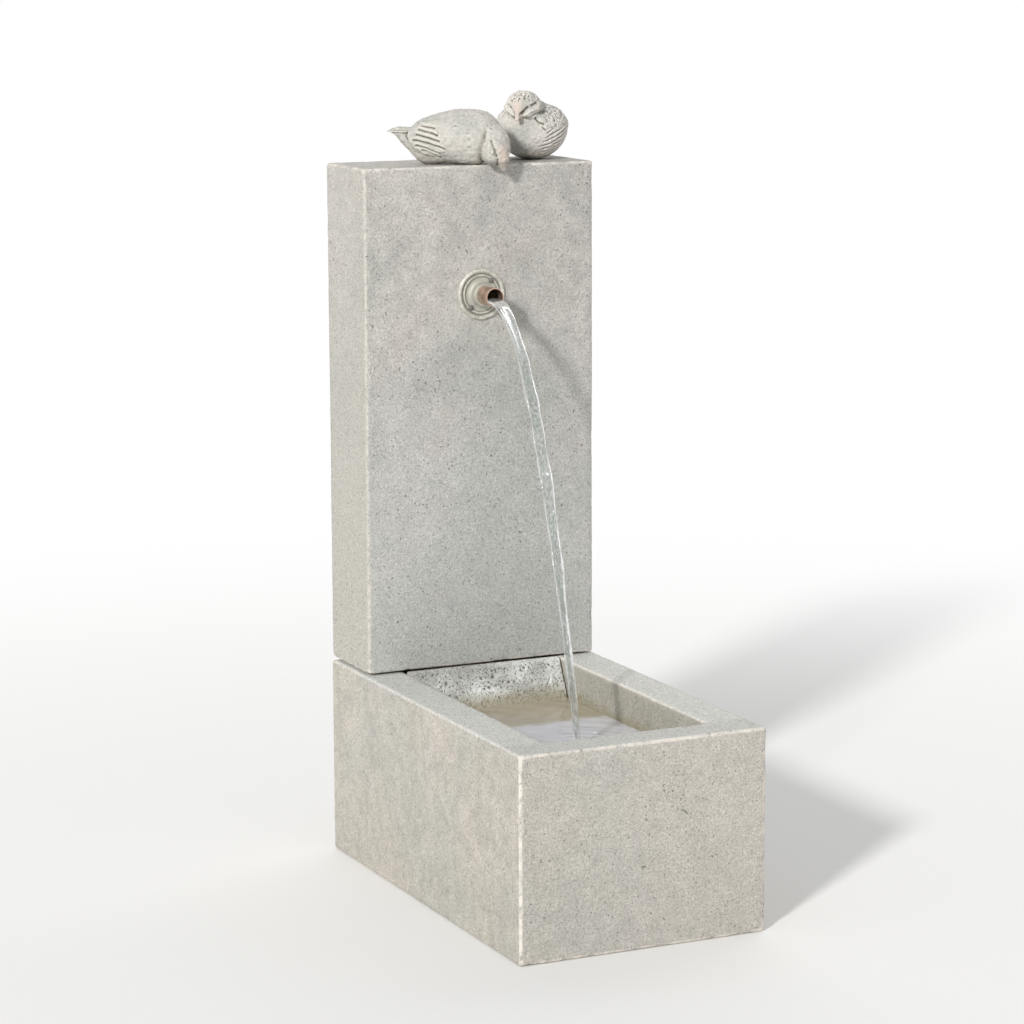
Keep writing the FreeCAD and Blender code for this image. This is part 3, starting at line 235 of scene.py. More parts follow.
def recast(name, source, net, sharp=True):
    """Covers a closed mesh with an even net of small faces, with its arrises kept sharp or not."""
    shape = bmesh.new()
    shape.from_mesh(source)
    bmesh.ops.remove_doubles(shape, verts=shape.verts, dist=SAME_POINT)
    shape.to_mesh(source)
    shape.free()
    helper = bpy.data.objects.new(name, source)
    bpy.context.scene.collection.objects.link(helper)
    modifier = helper.modifiers.new("Net", "REMESH")
    if sharp:
        modifier.mode = "SHARP"
        longest = np.ptp(points_of(source), axis=0).max()
        modifier.octree_depth = math.ceil(math.log2(longest / net / GRID_SHARE))
        modifier.scale = longest / net / 2**modifier.octree_depth
    else:
        modifier.mode = "VOXEL"
        modifier.voxel_size = net
    graph = bpy.context.evaluated_depsgraph_get()
    mesh = bpy.data.meshes.new_from_object(helper.evaluated_get(graph))
    mesh.name = name
    bpy.data.objects.remove(helper)
    mesh.shade_smooth()
    return mesh


def rows_of(items, key, width, kind=np.float32):
    """One property of many items, with an item in each row."""
    flat = np.empty(len(items) * width, kind)
    items.foreach_get(key, flat)
    return flat.reshape(-1, width)


def points_of(mesh):
    """The mesh's points."""
    return rows_of(mesh.vertices, "co", 3).astype(float)


def normals_of(mesh):
    """The normals at the mesh's points."""
    return rows_of(mesh.vertex_normals, "vector", 3).astype(float)


def edges_of(mesh):
    """The two ends of each edge."""
    return rows_of(mesh.edges, "vertices", 2, np.int32)


def keep_in_frame(points):
    """Brings in what would stand outside the frame's box."""
    return points.clip(np.array(FRAME_LOW), np.array(FRAME_HIGH))


def set_points(mesh, points):
    """Moves the mesh's points."""
    mesh.vertices.foreach_set("co", points.astype(np.float32).ravel())
    mesh.update()


def set_value(mesh, name, values):
    """Keeps one number for each point."""
    attribute = mesh.attributes.new(name, "FLOAT", "POINT")
    attribute.data.foreach_set("value", values.astype(np.float32))


def smoothed(values, edges, rounds):
    """Evens out values over the net, each towards the mean of its neighbours."""
    count = len(values)
    valence = np.bincount(edges.ravel(), minlength=count).astype(float)
    valence[valence == 0] = 1
    values = values.copy()
    for _ in range(rounds):
        for axis in range(values.shape[1]):
            column = values[:, axis]
            total = np.bincount(edges[:, 0], column[edges[:, 1]], count)
            total += np.bincount(edges[:, 1], column[edges[:, 0]], count)
            values[:, axis] = 0.5 * column + 0.5 * total / valence
    return values


def proud(mesh, rounds):
    """How far each point stands out from its surroundings, in metres."""
    points = points_of(mesh)
    return ((points - smoothed(points, edges_of(mesh), rounds)) * normals_of(mesh)).sum(1)


def mark_relief(mesh, rounds):
    """Marks how far each point stands out, in millimetres."""
    set_value(mesh, "relief", proud(mesh, rounds) * 1000)


def grid_faces(rows, across, closed):
    """Faces between rows of points. Each row may be closed to a ring."""
    faces = []
    for row in range(rows - 1):
        near, far = row * across, (row + 1) * across
        for k in range(across if closed else across - 1):
            j = (k + 1) % across
            faces.append((near + k, near + j, far + j, far + k))
    return faces


def new_mesh(name, vertices, faces):
    """A smooth mesh from lists of points and faces."""
    mesh = bpy.data.meshes.new(name)
    mesh.from_pydata([tuple(v) for v in vertices], [], faces)
    mesh.update()
    mesh.shade_smooth()
    return mesh


def new_piece(name, mesh, body, material, replaced=None):
    """Puts a mesh in the scene as a piece that moves with a body and may replace a CAD node."""
    piece = bpy.data.objects.new(name, mesh)
    bpy.context.scene.collection.objects.link(piece)
    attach(piece, body)
    if replaced:
        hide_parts(replaced)
    dress(piece, material)


def dress(piece, material):
    """Gives a whole piece one material."""
    piece.data.materials.clear()
    piece.data.materials.append(material)


def dress_nodes(names, material):
    """Gives the objects of CAD nodes another material."""
    for name in names:
        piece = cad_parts[name]
        if not piece.material_slots:
            piece.data.materials.append(material)
        for slot in piece.material_slots:
            slot.link = "OBJECT"
            slot.material = material


# Shapes of numbers


def smooth_step(values, low, high):
    """0 below low, 1 above high and smooth between."""
    part = np.clip((values - low) / (high - low), 0, 1)
    return part * part * (3 - 2 * part)


def bell(values, width):
    """1 at zero, fading away over about a width on both sides."""
    return np.exp(-((values / width) ** 2))


def hashed(cells, seed):
    """A repeatable number from 0 to 1 for each whole-number cell."""
    mixed = cells[..., 0] * 73856093 ^ cells[..., 1] * 19349663 ^ cells[..., 2] * 83492791
    mixed = mixed ^ (seed * 40503 + 7)
    mixed = (mixed ^ (mixed >> 13)) * 1274126177
    mixed = mixed ^ (mixed >> 16)
    mixed = (mixed * 668265263) ^ (mixed >> 11)
    return (mixed & 0xFFFFF) / 0xFFFFF


def noise(points, size, seed):
    """Smooth noise from 0 to 1 that changes over a length of about size."""
    scaled = points / size
    base = np.floor(scaled).astype(np.int64)
    part = scaled - base
    part = part * part * (3 - 2 * part)
    total = np.zeros(len(points))
    for corner in np.ndindex(2, 2, 2):
        step = np.array(corner)
        weight = np.prod(np.where(step == 1, part, 1 - part), axis=1)
        total += weight * hashed(base + step, seed)
    return total


def layered(points, size, seed, layers=3):
    """Noise with finer noise over it, from 0 to 1."""
    total = np.zeros(len(points))
    weight = 1.0
    for layer in range(layers):
        total += weight * noise(points, size / 2**layer, seed + layer)
        weight *= 0.5
    return total / (2 - 2 * weight)


def pits(points, spacing, radius, fraction, seed):
    """Depth from 0 to 1 of round pits strewn over space."""
    base = np.floor(points / spacing).astype(np.int64)
    depth = np.zeros(len(points))
    for corner in np.ndindex(3, 3, 3):
        cell = base + np.array(corner) - 1
        centre = np.stack([hashed(cell, seed + axis) for axis in range(3)], axis=1)
        size = radius * (0.35 + 0.65 * hashed(cell, seed + 3) ** 2)
        there = hashed(cell, seed + 4) < fraction
        away = np.linalg.norm(points - (cell + centre) * spacing, axis=1)
        bowl = np.sqrt(np.clip(1 - (away / size) ** 2, 0, 1)) * size / radius
        depth = np.maximum(depth, np.where(there, bowl, 0))
    return depth


# Shader nodes

VALUE, VECTOR, COLOUR = "NodeSocketFloat", "NodeSocketVector", "NodeSocketColor"
WHITE = (1.0, 1.0, 1.0)


class Wire:
    """A node's output. Sums with wires add Math nodes."""

    def __init__(self, made, key=0):
        self.socket = made.outputs[key]
        self.tree = made.id_data

    def __add__(self, other):
        return calc("ADD", self, other)

    def __sub__(self, other):
        return calc("SUBTRACT", self, other)

    def __rsub__(self, other):
        return calc("SUBTRACT", other, self)

    def __mul__(self, other):
        return calc("MULTIPLY", self, other)

    def __truediv__(self, other):
        return calc("DIVIDE", self, other)

    def __rtruediv__(self, other):
        return calc("DIVIDE", other, self)

    def __abs__(self):
        return calc("ABSOLUTE", self)


def tree_of(*values):
    """The node tree of the wires among some values."""
    return next(value.tree for value in values if isinstance(value, Wire))


def feed(socket, value):
    """Links a wire to a socket, or sets the socket's own value."""
    if isinstance(value, Wire):
        value.tree.links.new(value.socket, socket)
    elif socket.type == "RGBA":
        socket.default_value = (*value[:3], 1.0)
    else:
        socket.default_value = value


def node(tree, kind, feeds=None, **settings):
    """Adds a shader node. A feed is a value or a wire."""
    made = tree.nodes.new("ShaderNode" + kind)
    for key, value in settings.items():
        setattr(made, key, value)
    for key, value in (feeds or {}).items():
        feed(made.inputs[key], value)
    return made


def calc(operation, first, second=0.0):
    """The output of a Math node."""
    made = node(tree_of(first, second), "Math", {0: first, 1: second}, operation=operation)
    return Wire(made)


def vector_calc(operation, feeds, key=0):
    """An output of a Vector Math node."""
    return Wire(node(feeds[0].tree, "VectorMath", feeds, operation=operation), key)


def ramp(value, low, high, start=0.0, end=1.0):
    """Maps a value from low..high to start..end, smoothly, and no further."""
    feeds = {"Value": value, "From Min": low, "From Max": high, "To Min": start, "To Max": end}
    return Wire(node(value.tree, "MapRange", feeds, interpolation_type="SMOOTHSTEP", clamp=True))


def mix(factor, first, second, mode="MIX"):
    """The colour output of a Mix node."""
    tree = tree_of(factor, first, second)
    feeds = {0: factor, 6: first, 7: second}
    return Wire(node(tree, "Mix", feeds, data_type="RGBA", blend_type=mode), 2)


def shaded(colour, value):
    """A colour times a value."""
    grey = node(value.tree, "CombineColor", {0: value, 1: value, 2: value})
    return mix(1.0, colour, Wire(grey), "MULTIPLY")


def between(first, second, part):
    """The colour that lies a part of the way from one plain colour to another."""
    return [a + (b - a) * part for a, b in zip(first, second)]


def cloud(vector, scale, detail=3.0, roughness=0.55):
    """The value of a Noise Texture node."""
    feeds = {"Vector": vector, "Scale": scale, "Detail": detail, "Roughness": roughness}
    return Wire(node(vector.tree, "TexNoise", feeds), "Fac")


def scattered(vector, scale):
    """How far the nearest of many scattered spots is, and two random numbers for that spot."""
    spots = node(vector.tree, "TexVoronoi", {"Vector": vector, "Scale": scale})
    lots = node(vector.tree, "SeparateColor", {0: Wire(spots, "Color")})
    return Wire(spots, "Distance"), Wire(lots, 0), Wire(lots, 1)


def parts_of(vector):
    """The X, Y and Z of a vector."""
    made = node(vector.tree, "SeparateXYZ", {0: vector})
    return [Wire(made, key) for key in "XYZ"]


def stretched(vector, scale):
    """A vector with each part scaled."""
    return Wire(node(vector.tree, "Mapping", {"Vector": vector, "Scale": scale}))


def marked(tree, name):
    """A number kept at the points of the mesh."""
    return Wire(node(tree, "Attribute", attribute_name=name, attribute_type="GEOMETRY"), "Fac")


def rays(tree, *kinds):
    """1 for rays of these kinds and 0 for all others."""
    path = node(tree, "LightPath")
    found = [Wire(path, f"Is {kind} Ray") for kind in kinds]
    whole = found[0]
    for other in found[1:]:
        whole = calc("MAXIMUM", whole, other)
    return whole


def shader_group(title, inputs, outputs):
    """Makes a function of wires into a node group that is built once and placed in any tree."""

    def build(fill):
        group = bpy.data.node_groups.new(title, "ShaderNodeTree")
        for way, sockets in (("INPUT", inputs), ("OUTPUT", outputs)):
            for name, kind in sockets.items():
                group.interface.new_socket(name=name, in_out=way, socket_type=kind)
        entry = group.nodes.new("NodeGroupInput")
        leave = group.nodes.new("NodeGroupOutput")
        made = fill(*[Wire(entry, name) for name in inputs])
        for name, wire in zip(outputs, made):
            feed(leave.inputs[name], wire)
        return group

    def decorate(fill):
        def place(tree, **feeds):
            made = tree.nodes.new("ShaderNodeGroup")
            made.node_tree = bpy.data.node_groups.get(title) or build(fill)
            for key, value in feeds.items():
                feed(made.inputs[key], value)
            wires = [Wire(made, name) for name in outputs]
            return wires if len(wires) > 1 else wires[0]

        return place

    return decorate


@shader_group(
    "Stone clouds",
    {"Vector": VECTOR, "Size": VALUE, "Warmth": VALUE}
    | {"Warm": COLOUR, "Cool": COLOUR, "Rose": COLOUR},
    {"Color": COLOUR},
)
def stone_clouds(vector, size, warmth, warm, cool, rose):
    """Broad clouds of three tones with fainter, smaller ones over them."""
    scale = 1.0 / size
    broad = cloud(vector, scale)
    patchy = cloud(vector, scale * 2.6, 4.0, 0.6)
    small = cloud(vector, scale * 11.0, 3.0, 0.6)
    base = mix(ramp(broad + warmth, 0.40, 0.62), cool, warm)
    base = mix(ramp(patchy, 0.50, 0.68) * 0.55, base, rose)
    return [shaded(base, ramp(small, 0.28, 0.72, 0.90, 1.08))]


@shader_group(
    "Stone grain",
    {"Vector": VECTOR, "Size": VALUE, "Strength": VALUE},
    {"Shade": VALUE, "Height": VALUE},
)
def stone_grain(vector, size, strength):
    """Sand grains and short winding marks, as a shade about 1 and a height."""
    scale = 1.0 / size
    grains = scattered(vector, scale)[1]
    blotches = cloud(vector, scale * 0.55, 3.0, 0.7)
    winding = cloud(vector, scale * 0.42, 2.0, 0.6)
    height = (grains - 0.5) * 0.8 + (blotches - 0.5) * 2.6
    height = height + ramp(winding, 0.40, 0.30) * -0.75
    height = height + ramp(winding, 0.60, 0.72) * 0.55
    return [height * strength + 1.0, height]


@shader_group(
    "Stone pits",
    {"Vector": VECTOR, "Spacing": VALUE, "Share": VALUE, "Radius": VALUE},
    {"Mask": VALUE},
)
def stone_pits(vector, spacing, share, radius):
    """Small round pits strewn over the stone, thicker in some places."""
    scale = 1.0 / spacing
    feeds = {"Vector": vector, "Scale": scale * 1.7, "Detail": 1.0}
    warp = Wire(node(vector.tree, "TexNoise", feeds), "Color")
    warp = vector_calc("SUBTRACT", {0: warp, 1: (0.5, 0.5, 0.5)})
    warp = vector_calc("SCALE", {0: warp, "Scale": spacing * 0.9})
    away, lot, size = scattered(vector_calc("ADD", {0: vector, 1: warp}), scale)
    crowd = ramp(cloud(vector, 7.0, 2.0), 0.35, 0.7, 0.25, 1.8)
    there = calc("LESS_THAN", lot, share * crowd)
    ratio = away / (radius * ramp(size, 0, 1, 0.45, 1))
    return [ramp(ratio, 0.65, 1.0, 1.0, 0.0) * there]


@shader_group("Worn relief", {"Low": VALUE, "High": VALUE}, {"Raised": VALUE, "Sunk": VALUE})
def worn_relief(low, high):
    """Masks of what stands proud and what lies sunk, from the mark left on the mesh."""
    relief = marked(low.tree, "relief")
    return [ramp(relief, low, high), ramp(relief, low * -1.0, high * -1.0)]


@shader_group(
    "Tide mark",
    {"Vector": VECTOR, "Level": VALUE, "Reach": VALUE, "Waviness": VALUE},
    {"Below": VALUE},
)
def tide_mark(vector, level, reach, waviness):
    """What lies below a wavy line at a height."""
    height = parts_of(vector)[2] + (cloud(vector, 28.0, 3.0, 0.6) - 0.5) * waviness
    return [ramp(height, level, level + reach, 1.0, 0.0)]


@shader_group(
    "Handled finish",
    {"Vector": VECTOR, "Size": VALUE, "Smooth": VALUE, "Rough": VALUE},
    {"Dust": VALUE, "Scuffs": VALUE, "Height": VALUE, "Roughness": VALUE},
)
def handled_finish(vector, size, smooth, rough):
    """Scuffs, dust and fine texture for moulded, turned and rubber parts."""
    scale = 1.0 / size
    broad = cloud(vector, scale * 0.12, 4.0, 0.6)
    fine = cloud(vector, scale, 2.0, 0.6)
    lines = cloud(stretched(vector, (0.06, 1.0, 1.0)), scale * 0.8, 3.0, 0.7)
    scuffs = ramp(lines, 0.60, 0.72)
    rub = broad * 0.7 + fine * 0.3
    roughness = smooth + rub * (rough - smooth)
    return [ramp(broad, 0.48, 0.72), scuffs, fine + scuffs * -0.5, roughness]


# Materials


def blank_material(name):
    """A material with a Principled shader: it, its tree, that shader and its coordinates."""
    material = bpy.data.materials.new(name)
    material.use_nodes = True
    tree = material.node_tree
    tree.nodes.clear()
    shader = node(tree, "BsdfPrincipled")
    node(tree, "OutputMaterial", {"Surface": Wire(shader)})
    return material, tree, shader, Wire(node(tree, "TexCoord"), "Object")


def finish(shader, height, depth, feeds):
    """Feeds a shader's sockets, and its normal from a height with a depth in metres."""
    bump = Wire(node(shader.id_data, "Bump", {"Height": height, "Distance": depth}))
    for key, value in {**feeds, "Normal": bump}.items():
        feed(shader.inputs[key], value)


def show_instead(shader, factor, other):
    """Shows another shader by a factor in place of the material's own."""
    tree = shader.id_data
    joined = node(tree, "MixShader", {0: factor, 1: Wire(shader), 2: Wire(other)})
    output = next(n for n in tree.nodes if n.bl_idname == "ShaderNodeOutputMaterial")
    feed(output.inputs["Surface"], Wire(joined))


def cast_stone(name, stone, warmth, warm, cool, pit_share, paint):
    """Weathered cast stone. paint(vector, colour) tints its parts before grain and pits."""
    material, tree, shader, vector = blank_material(name)
    tones = {"Warmth": warmth, "Warm": warm, "Cool": cool, "Rose": stone.rose}
    colour = paint(vector, stone_clouds(tree, Vector=vector, Size=stone.cloud, **tones))
    shade, sand = stone_grain(tree, Vector=vector, Size=stone.grain, Strength=0.36)
    raised, _ = worn_relief(tree, Low=0.20, High=0.60)
    # Arrises are painted paler: wear, and a painted highlight
    edge_wear_and_highlight = ramp(cloud(vector, 55.0, 4.0, 0.65), 0.38, 0.60, 0.35, 0.95)
    colour = mix(raised * edge_wear_and_highlight, shaded(colour, shade), stone.arris)
    small = stone_pits(tree, Vector=vector, Spacing=0.0072, Share=pit_share, Radius=0.20)
    large = stone_pits(tree, Vector=vector, Spacing=0.031, Share=pit_share * 0.5, Radius=0.095)
    holes = calc("MAXIMUM", small, large)
    # Pits are painted dark, a painted shade inside them
    colour = mix(holes * 0.66, colour, stone.pit)
    feeds = {"Base Color": colour, "Roughness": 0.9, "Specular IOR Level": 0.25}
    finish(shader, sand * 0.22 - holes, 0.0011, feeds)
    return material


def column_stone(settings):
    """Stone of the column: warmer and darker above, greyer and paler below."""
    stone = settings.stone

    def paint(vector, colour):
        x, _, z = parts_of(vector)
        colour = mix(ramp(z, 0.45, 0.95, 1.0, 0.0) * 0.55, colour, stone.foot)
        # Painted light and shade: the column is painted lighter at its left and darker at its
        # right, as the light falls from the left
        painted_side_shade = ramp(x, COLUMN_LOW.x, COLUMN_HIGH.x, 1.03, 0.93)
        colour = shaded(colour, ramp(z, 0.45, 1.05, 0.99, 0.90) * painted_side_shade)
        # The left side face is buff, and browner towards its foot
        side = ramp(x, COLUMN_LOW.x + 0.006, COLUMN_LOW.x + 0.002)
        return mix(side * ramp(z, 0.4, 1.0, 0.8, 0.4), colour, stone.flank)

    return cast_stone("column_stone", stone, 0.0, stone.warm, stone.cool, 0.40, paint)


def basin_stone(settings):
    """Stone of the basin: buff outside, washed on its rim, with growth at the waterline inside."""
    stone = settings.stone
    waterline = {"Level": settings.water.level + 0.002, "Reach": 0.022, "Waviness": 0.05}

    def paint(vector, colour):
        x, y, z = parts_of(vector)
        # The front face is tinted greyer than the sides: partly its own tone, partly painted light,
        # as the sides take a warmer light
        front = ramp(y, BASIN_LOW.y + 0.002, BASIN_LOW.y + 0.006, 0.35, 0.0)
        colour = shaded(mix(front, colour, stone.warm), ramp(z, 0.0, 0.22, 0.87, 0.92))
        # The rim over the front wall is darker than the others
        washed = shaded(stone.rim, ramp(y, -0.300, -0.275, 0.90, 1.07))
        rim = ramp(z, BASIN_HIGH.z - 0.004, BASIN_HIGH.z - 0.0015)
        colour = mix(rim * 0.62, colour, washed)
        # The inner walls
        inner = calc("LESS_THAN", abs(x), BASIN_HIGH.x - 0.060)
        inner = inner * calc("GREATER_THAN", y, BASIN_LOW.y + 0.050)
        inner = inner * calc("LESS_THAN", y, BASIN_HIGH.y - 0.035)
        inner = inner * ramp(z, BASIN_HIGH.z - 0.010, BASIN_HIGH.z - 0.003, 1.0, 0.0)
        colour = mix(inner * 0.45, colour, between(stone.cool, stone.algae, 0.35))
        growth = tide_mark(vector.tree, Vector=vector, **waterline)
        return mix(growth * inner * 0.6, colour, stone.algae)

    return cast_stone("basin_stone", stone, 0.05, stone.side, stone.dull, 0.42, paint)


def slab_stone(settings):
    """Open, crusted stone of the pump cover, stained where the water stands."""
    stone = settings.stone
    material, tree, shader, vector = blank_material("slab_stone")
    tones = {"Warmth": 0.02, "Warm": stone.crust, "Cool": stone.cool, "Rose": stone.crust}
    colour = stone_clouds(tree, Vector=vector, Size=0.09, **tones)
    shade, sand = stone_grain(tree, Vector=vector, Size=0.0016, Strength=0.22)
    raised, sunk = worn_relief(tree, Low=0.12, High=0.75)
    # Hollows and pits are painted dark as painted shade; what stands proud is paler, with wear and
    # painted highlight
    colour = mix(sunk * 0.85, shaded(colour, shade), stone.pit)
    colour = mix(raised * 0.4, colour, stone.arris)
    holes = stone_pits(tree, Vector=vector, Spacing=0.0031, Share=1.9, Radius=0.42)
    colour = mix(holes * 0.85, colour, stone.pit)
    waterline = {"Level": settings.water.level + 0.003, "Reach": 0.024, "Waviness": 0.03}
    wet = tide_mark(tree, Vector=vector, **waterline)
    colour = mix(wet * 0.9, colour, between(stone.algae, stone.side, 0.25))
    feeds = {"Base Color": colour, "Roughness": ramp(wet, 0.0, 1.0, 0.93, 0.45)}
    finish(shader, sand * 0.25 - holes, 0.0014, {**feeds, "Specular IOR Level": 0.3})
    return material


def bird_stone(settings, name, cream):
    """Pale cast stone, with painted shade in its hollows and grime and painted shade where it sits.
    """
    birds, stone = settings.birds, settings.stone
    material, tree, shader, vector = blank_material(name)
    tones = {"Warmth": 0.05, "Warm": cream, "Cool": stone.cool, "Rose": stone.rose}
    colour = stone_clouds(tree, Vector=vector, Size=0.05, **tones)
    shade, sand = stone_grain(tree, Vector=vector, Size=0.0011, Strength=0.16)
    colour = mix(marked(tree, "beak") * 0.8, shaded(colour, shade), birds.beak)
    # Raised feathers are painted paler, with wear and painted highlight; hollows are painted dark,
    # a painted shade
    raised, sunk = worn_relief(tree, Low=0.04, High=0.34)
    colour = mix(raised * 0.6, colour, stone.arris)
    colour = mix(sunk * 0.92, colour, birds.grime_and_shade)
    # Darker where the bird sits on the column: grime, and painted shade under its body
    seat = {"Level": COLUMN_HIGH.z + 0.001, "Reach": 0.010, "Waviness": 0.008}
    colour = mix(tide_mark(tree, Vector=vector, **seat) * 0.55, colour, birds.grime_and_shade)
    feeds = {"Base Color": colour, "Roughness": 0.85, "Specular IOR Level": 0.3}
    finish(shader, sand, 0.00025, feeds)
    return material


def handled(name, base, dust_tone, size, smooth, rough, depth, dusty, metallic=0.0):
    """A moulded, turned or rubber finish with dust, scuffs and fine texture."""
    material, tree, shader, vector = blank_material(name)
    wear = handled_finish(tree, Vector=vector, Size=size, Smooth=smooth, Rough=rough)
    dust, scuffs, height, roughness = wear
    colour = mix(dust * dusty, base, dust_tone)
    colour = mix(scuffs * (dusty * 0.8), colour, dust_tone)
    feeds = {"Base Color": colour, "Roughness": roughness, "Metallic": metallic}
    finish(shader, height, depth, feeds)
    return material


def aged_bronze(metal):
    """Grey-green bronze with lime on it."""
    material, tree, shader, vector = blank_material("aged_bronze")
    wear = handled_finish(tree, Vector=vector, Size=0.0012, Smooth=0.42, Rough=0.75)
    _, scuffs, height, roughness = wear
    x, _, z = parts_of(vector)
    flat = Wire(node(tree, "CombineXYZ", {0: x, 2: z - SPOUT_Z}))
    away = vector_calc("LENGTH", {0: flat}, "Value")
    # Lime stays on the two beads; grime and painted shade lie in the groove between them and on the
    # face within
    face = ramp(away, 0.0264, 0.0274, 1.0, 0.0)
    groove = ramp(abs(away - 0.0316), 0.0008, 0.0018, 1.0, 0.0)
    rim = ramp(abs(away - 0.0266), 0.0003, 0.0010, 1.0, 0.0)
    lime = ramp(cloud(vector, 120.0, 4.0, 0.65), 0.42, 0.66, 0.25, 1.0)
    colour = mix(lime * (1.0 - face * 0.75), metal.patina, metal.lime)
    colour = mix(calc("MAXIMUM", groove, rim * 0.8) * 0.75, colour, metal.dirt_and_shade)
    colour = mix(scuffs * 0.5, colour, metal.lime)
    feeds = {"Base Color": colour, "Roughness": roughness, "Metallic": 0.35}
    finish(shader, height, 0.00025, feeds)
    return material


def old_copper(metal):
    """Brown copper, green towards the wall and bright at its lip."""
    material, tree, shader, vector = blank_material("old_copper")
    wear = handled_finish(tree, Vector=vector, Size=0.0009, Smooth=0.28, Rough=0.6)
    _, _, height, roughness = wear
    y = parts_of(vector)[1]
    lip = ramp(y, TUBE_LOW.y + 0.0012, TUBE_LOW.y + 0.0045, 1.0, 0.0)
    patch = ramp(cloud(vector, 90.0, 3.0, 0.6), 0.42, 0.62)
    green = ramp(y, TUBE_LOW.y + 0.012, TUBE_LOW.y + 0.050, 0.0, 0.75)
    green = green * ramp(cloud(vector, 60.0), 0.35, 0.6, 0.4, 1.0)
    colour = mix(green, mix(patch, metal.copper, metal.brown), metal.verdigris)
    feeds = {
        "Base Color": mix(lip, colour, metal.copper),
        "Roughness": roughness - lip * 0.12,
        "Metallic": ramp(green, 0.0, 0.8, 0.85, 0.3),
    }
    finish(shader, height, 0.00015, feeds)
    return material


def clear_vinyl(pump):
    """Slightly cloudy, slightly green flexible tube."""
    material, tree, shader, vector = blank_material("clear_vinyl")
    wear = handled_finish(tree, Vector=vector, Size=0.004, Smooth=0.12, Rough=0.35)
    dust, _, height, roughness = wear
    feeds = {
        "Base Color": mix(dust, pump.vinyl, pump.bloom),
        "Roughness": roughness,
        "Alpha": ramp(dust, 0.0, 1.0, 0.55, 0.8),
    }
    finish(shader, height, 0.0002, feeds)
    return material


def clear_water(name, ripple_size, ripple_depth, shade, paint, feeds):
    """Water that lets a shade of the lamplight through. paint(vector) gives its colour."""
    material, tree, shader, vector = blank_material(name)
    waves = cloud(vector, 1.0 / ripple_size, 3.0, 0.5)
    finish(shader, waves, ripple_depth, {"Base Color": paint(vector), "Roughness": 0.03, **feeds})
    through = node(tree, "BsdfTransparent", {0: (shade, shade, shade)})
    show_instead(shader, rays(tree, "Shadow", "Diffuse"), through)
    return material


def jet_water(water):
    """Thin, moving water, with white painted along both rims and in threads between them as a
    painted highlight.
    """

    def paint(vector):
        # White threads and rims are a painted highlight
        threads = ramp(cloud(stretched(vector, (1.0, 1.0, 0.06)), 420.0, 2.0), 0.46, 0.60)
        return mix(calc("MAXIMUM", threads * 0.8, marked(vector.tree, "rim")), water.jet, WHITE)

    feeds = {"IOR": 1.24, "Transmission Weight": 0.8, "Specular IOR Level": 0.3}
    return clear_water("falling_water", 0.012, 0.0006, 0.45, paint, feeds)


def pool_water(water):
    """Stirred water, painted lilac as a painted reflection of the open sky, and dull near the
    slab's stained foot.
    """

    def paint(vector):
        back = parts_of(vector)[1] + (cloud(vector, 14.0) - 0.5) * 0.05
        # Lilac is a painted reflection of the sky; the brown is where the slab's stained foot shows
        return mix(ramp(back, 0.012, 0.042), water.pool, water.silt)

    feeds = {"IOR": 1.333, "Transmission Weight": 0.34}
    return clear_water("pool_water", 0.03, 0.0010, 0.9, paint, feeds)


# Stone pieces

ARRIS_LIFT = 0.30  # how proud an arris stands, as a share of the net's faces
CHIP_SPACING = 0.014
CHIP_START = 0.53  # the level of noise at which chips start
CHIP_SLOPE = 0.25
EVEN_WEAR = 0.10  # how much of a chip's depth is worn off everywhere
WAVE_BREADTH = 0.11
SLAB_LEAN = math.tan(math.radians(29.3))
SLAB_LIP = 0.002
LIP_ROOT = (-0.007, -0.0005)  # how far under the top the lip starts and is whole
LIP_EDGE = 0.001
SLAB_TOP_REACH = 0.007
# Pits in the slab: spacing, radius, share of places, seed and depth
SLAB_PITS = ((0.0085, 1.35, 0.55, 5, 1.1), (0.0052, 0.75, 0.8, 11, 0.8))


def weather(mesh, net, chip, sway, seed):
    """Rounds and chips the arrises and gives the faces the mould's faint waves, all inwards."""
    points = points_of(mesh)
    arris = np.clip(proud(mesh, 2) / (net * ARRIS_LIFT), 0, 1)
    broken = np.clip(layered(points, CHIP_SPACING, seed) - CHIP_START, 0, 1) / CHIP_SLOPE
    worn = EVEN_WEAR * arris + arris * np.clip(broken, 0, 1)
    waves = sway * noise(points, WAVE_BREADTH, seed + 20) ** 2
    points -= normals_of(mesh) * (waves + chip * worn)[:, None]
    set_points(mesh, keep_in_frame(points))


def build_stone(name, material, net, seed, stone):
    """One large casting with worn arrises, in place of its CAD node."""
    mesh = recast(name + "_casting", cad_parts[name].data.copy(), net)
    weather(mesh, net, stone.chip, stone.sway, seed)
    mark_relief(mesh, 2)
    new_piece(name + "_casting", mesh, "fountain", material, name)


def raise_lip(points):
    """Makes the slab's top level, and slightly higher, as far back as the column's face."""
    front = points[points[:, 2] > SLAB_HIGH.z - LIP_EDGE, 1].min()
    top = SLAB_HIGH.z - (points[:, 1] - front).clip(0) * SLAB_LEAN
    near = smooth_step(points[:, 2] - top, *LIP_ROOT)
    near *= smooth_step(-points[:, 1], -COLUMN_LOW.y, LIP_EDGE - COLUMN_LOW.y)
    points[:, 2] += near * (SLAB_HIGH.z + SLAB_LIP - top)
    return points


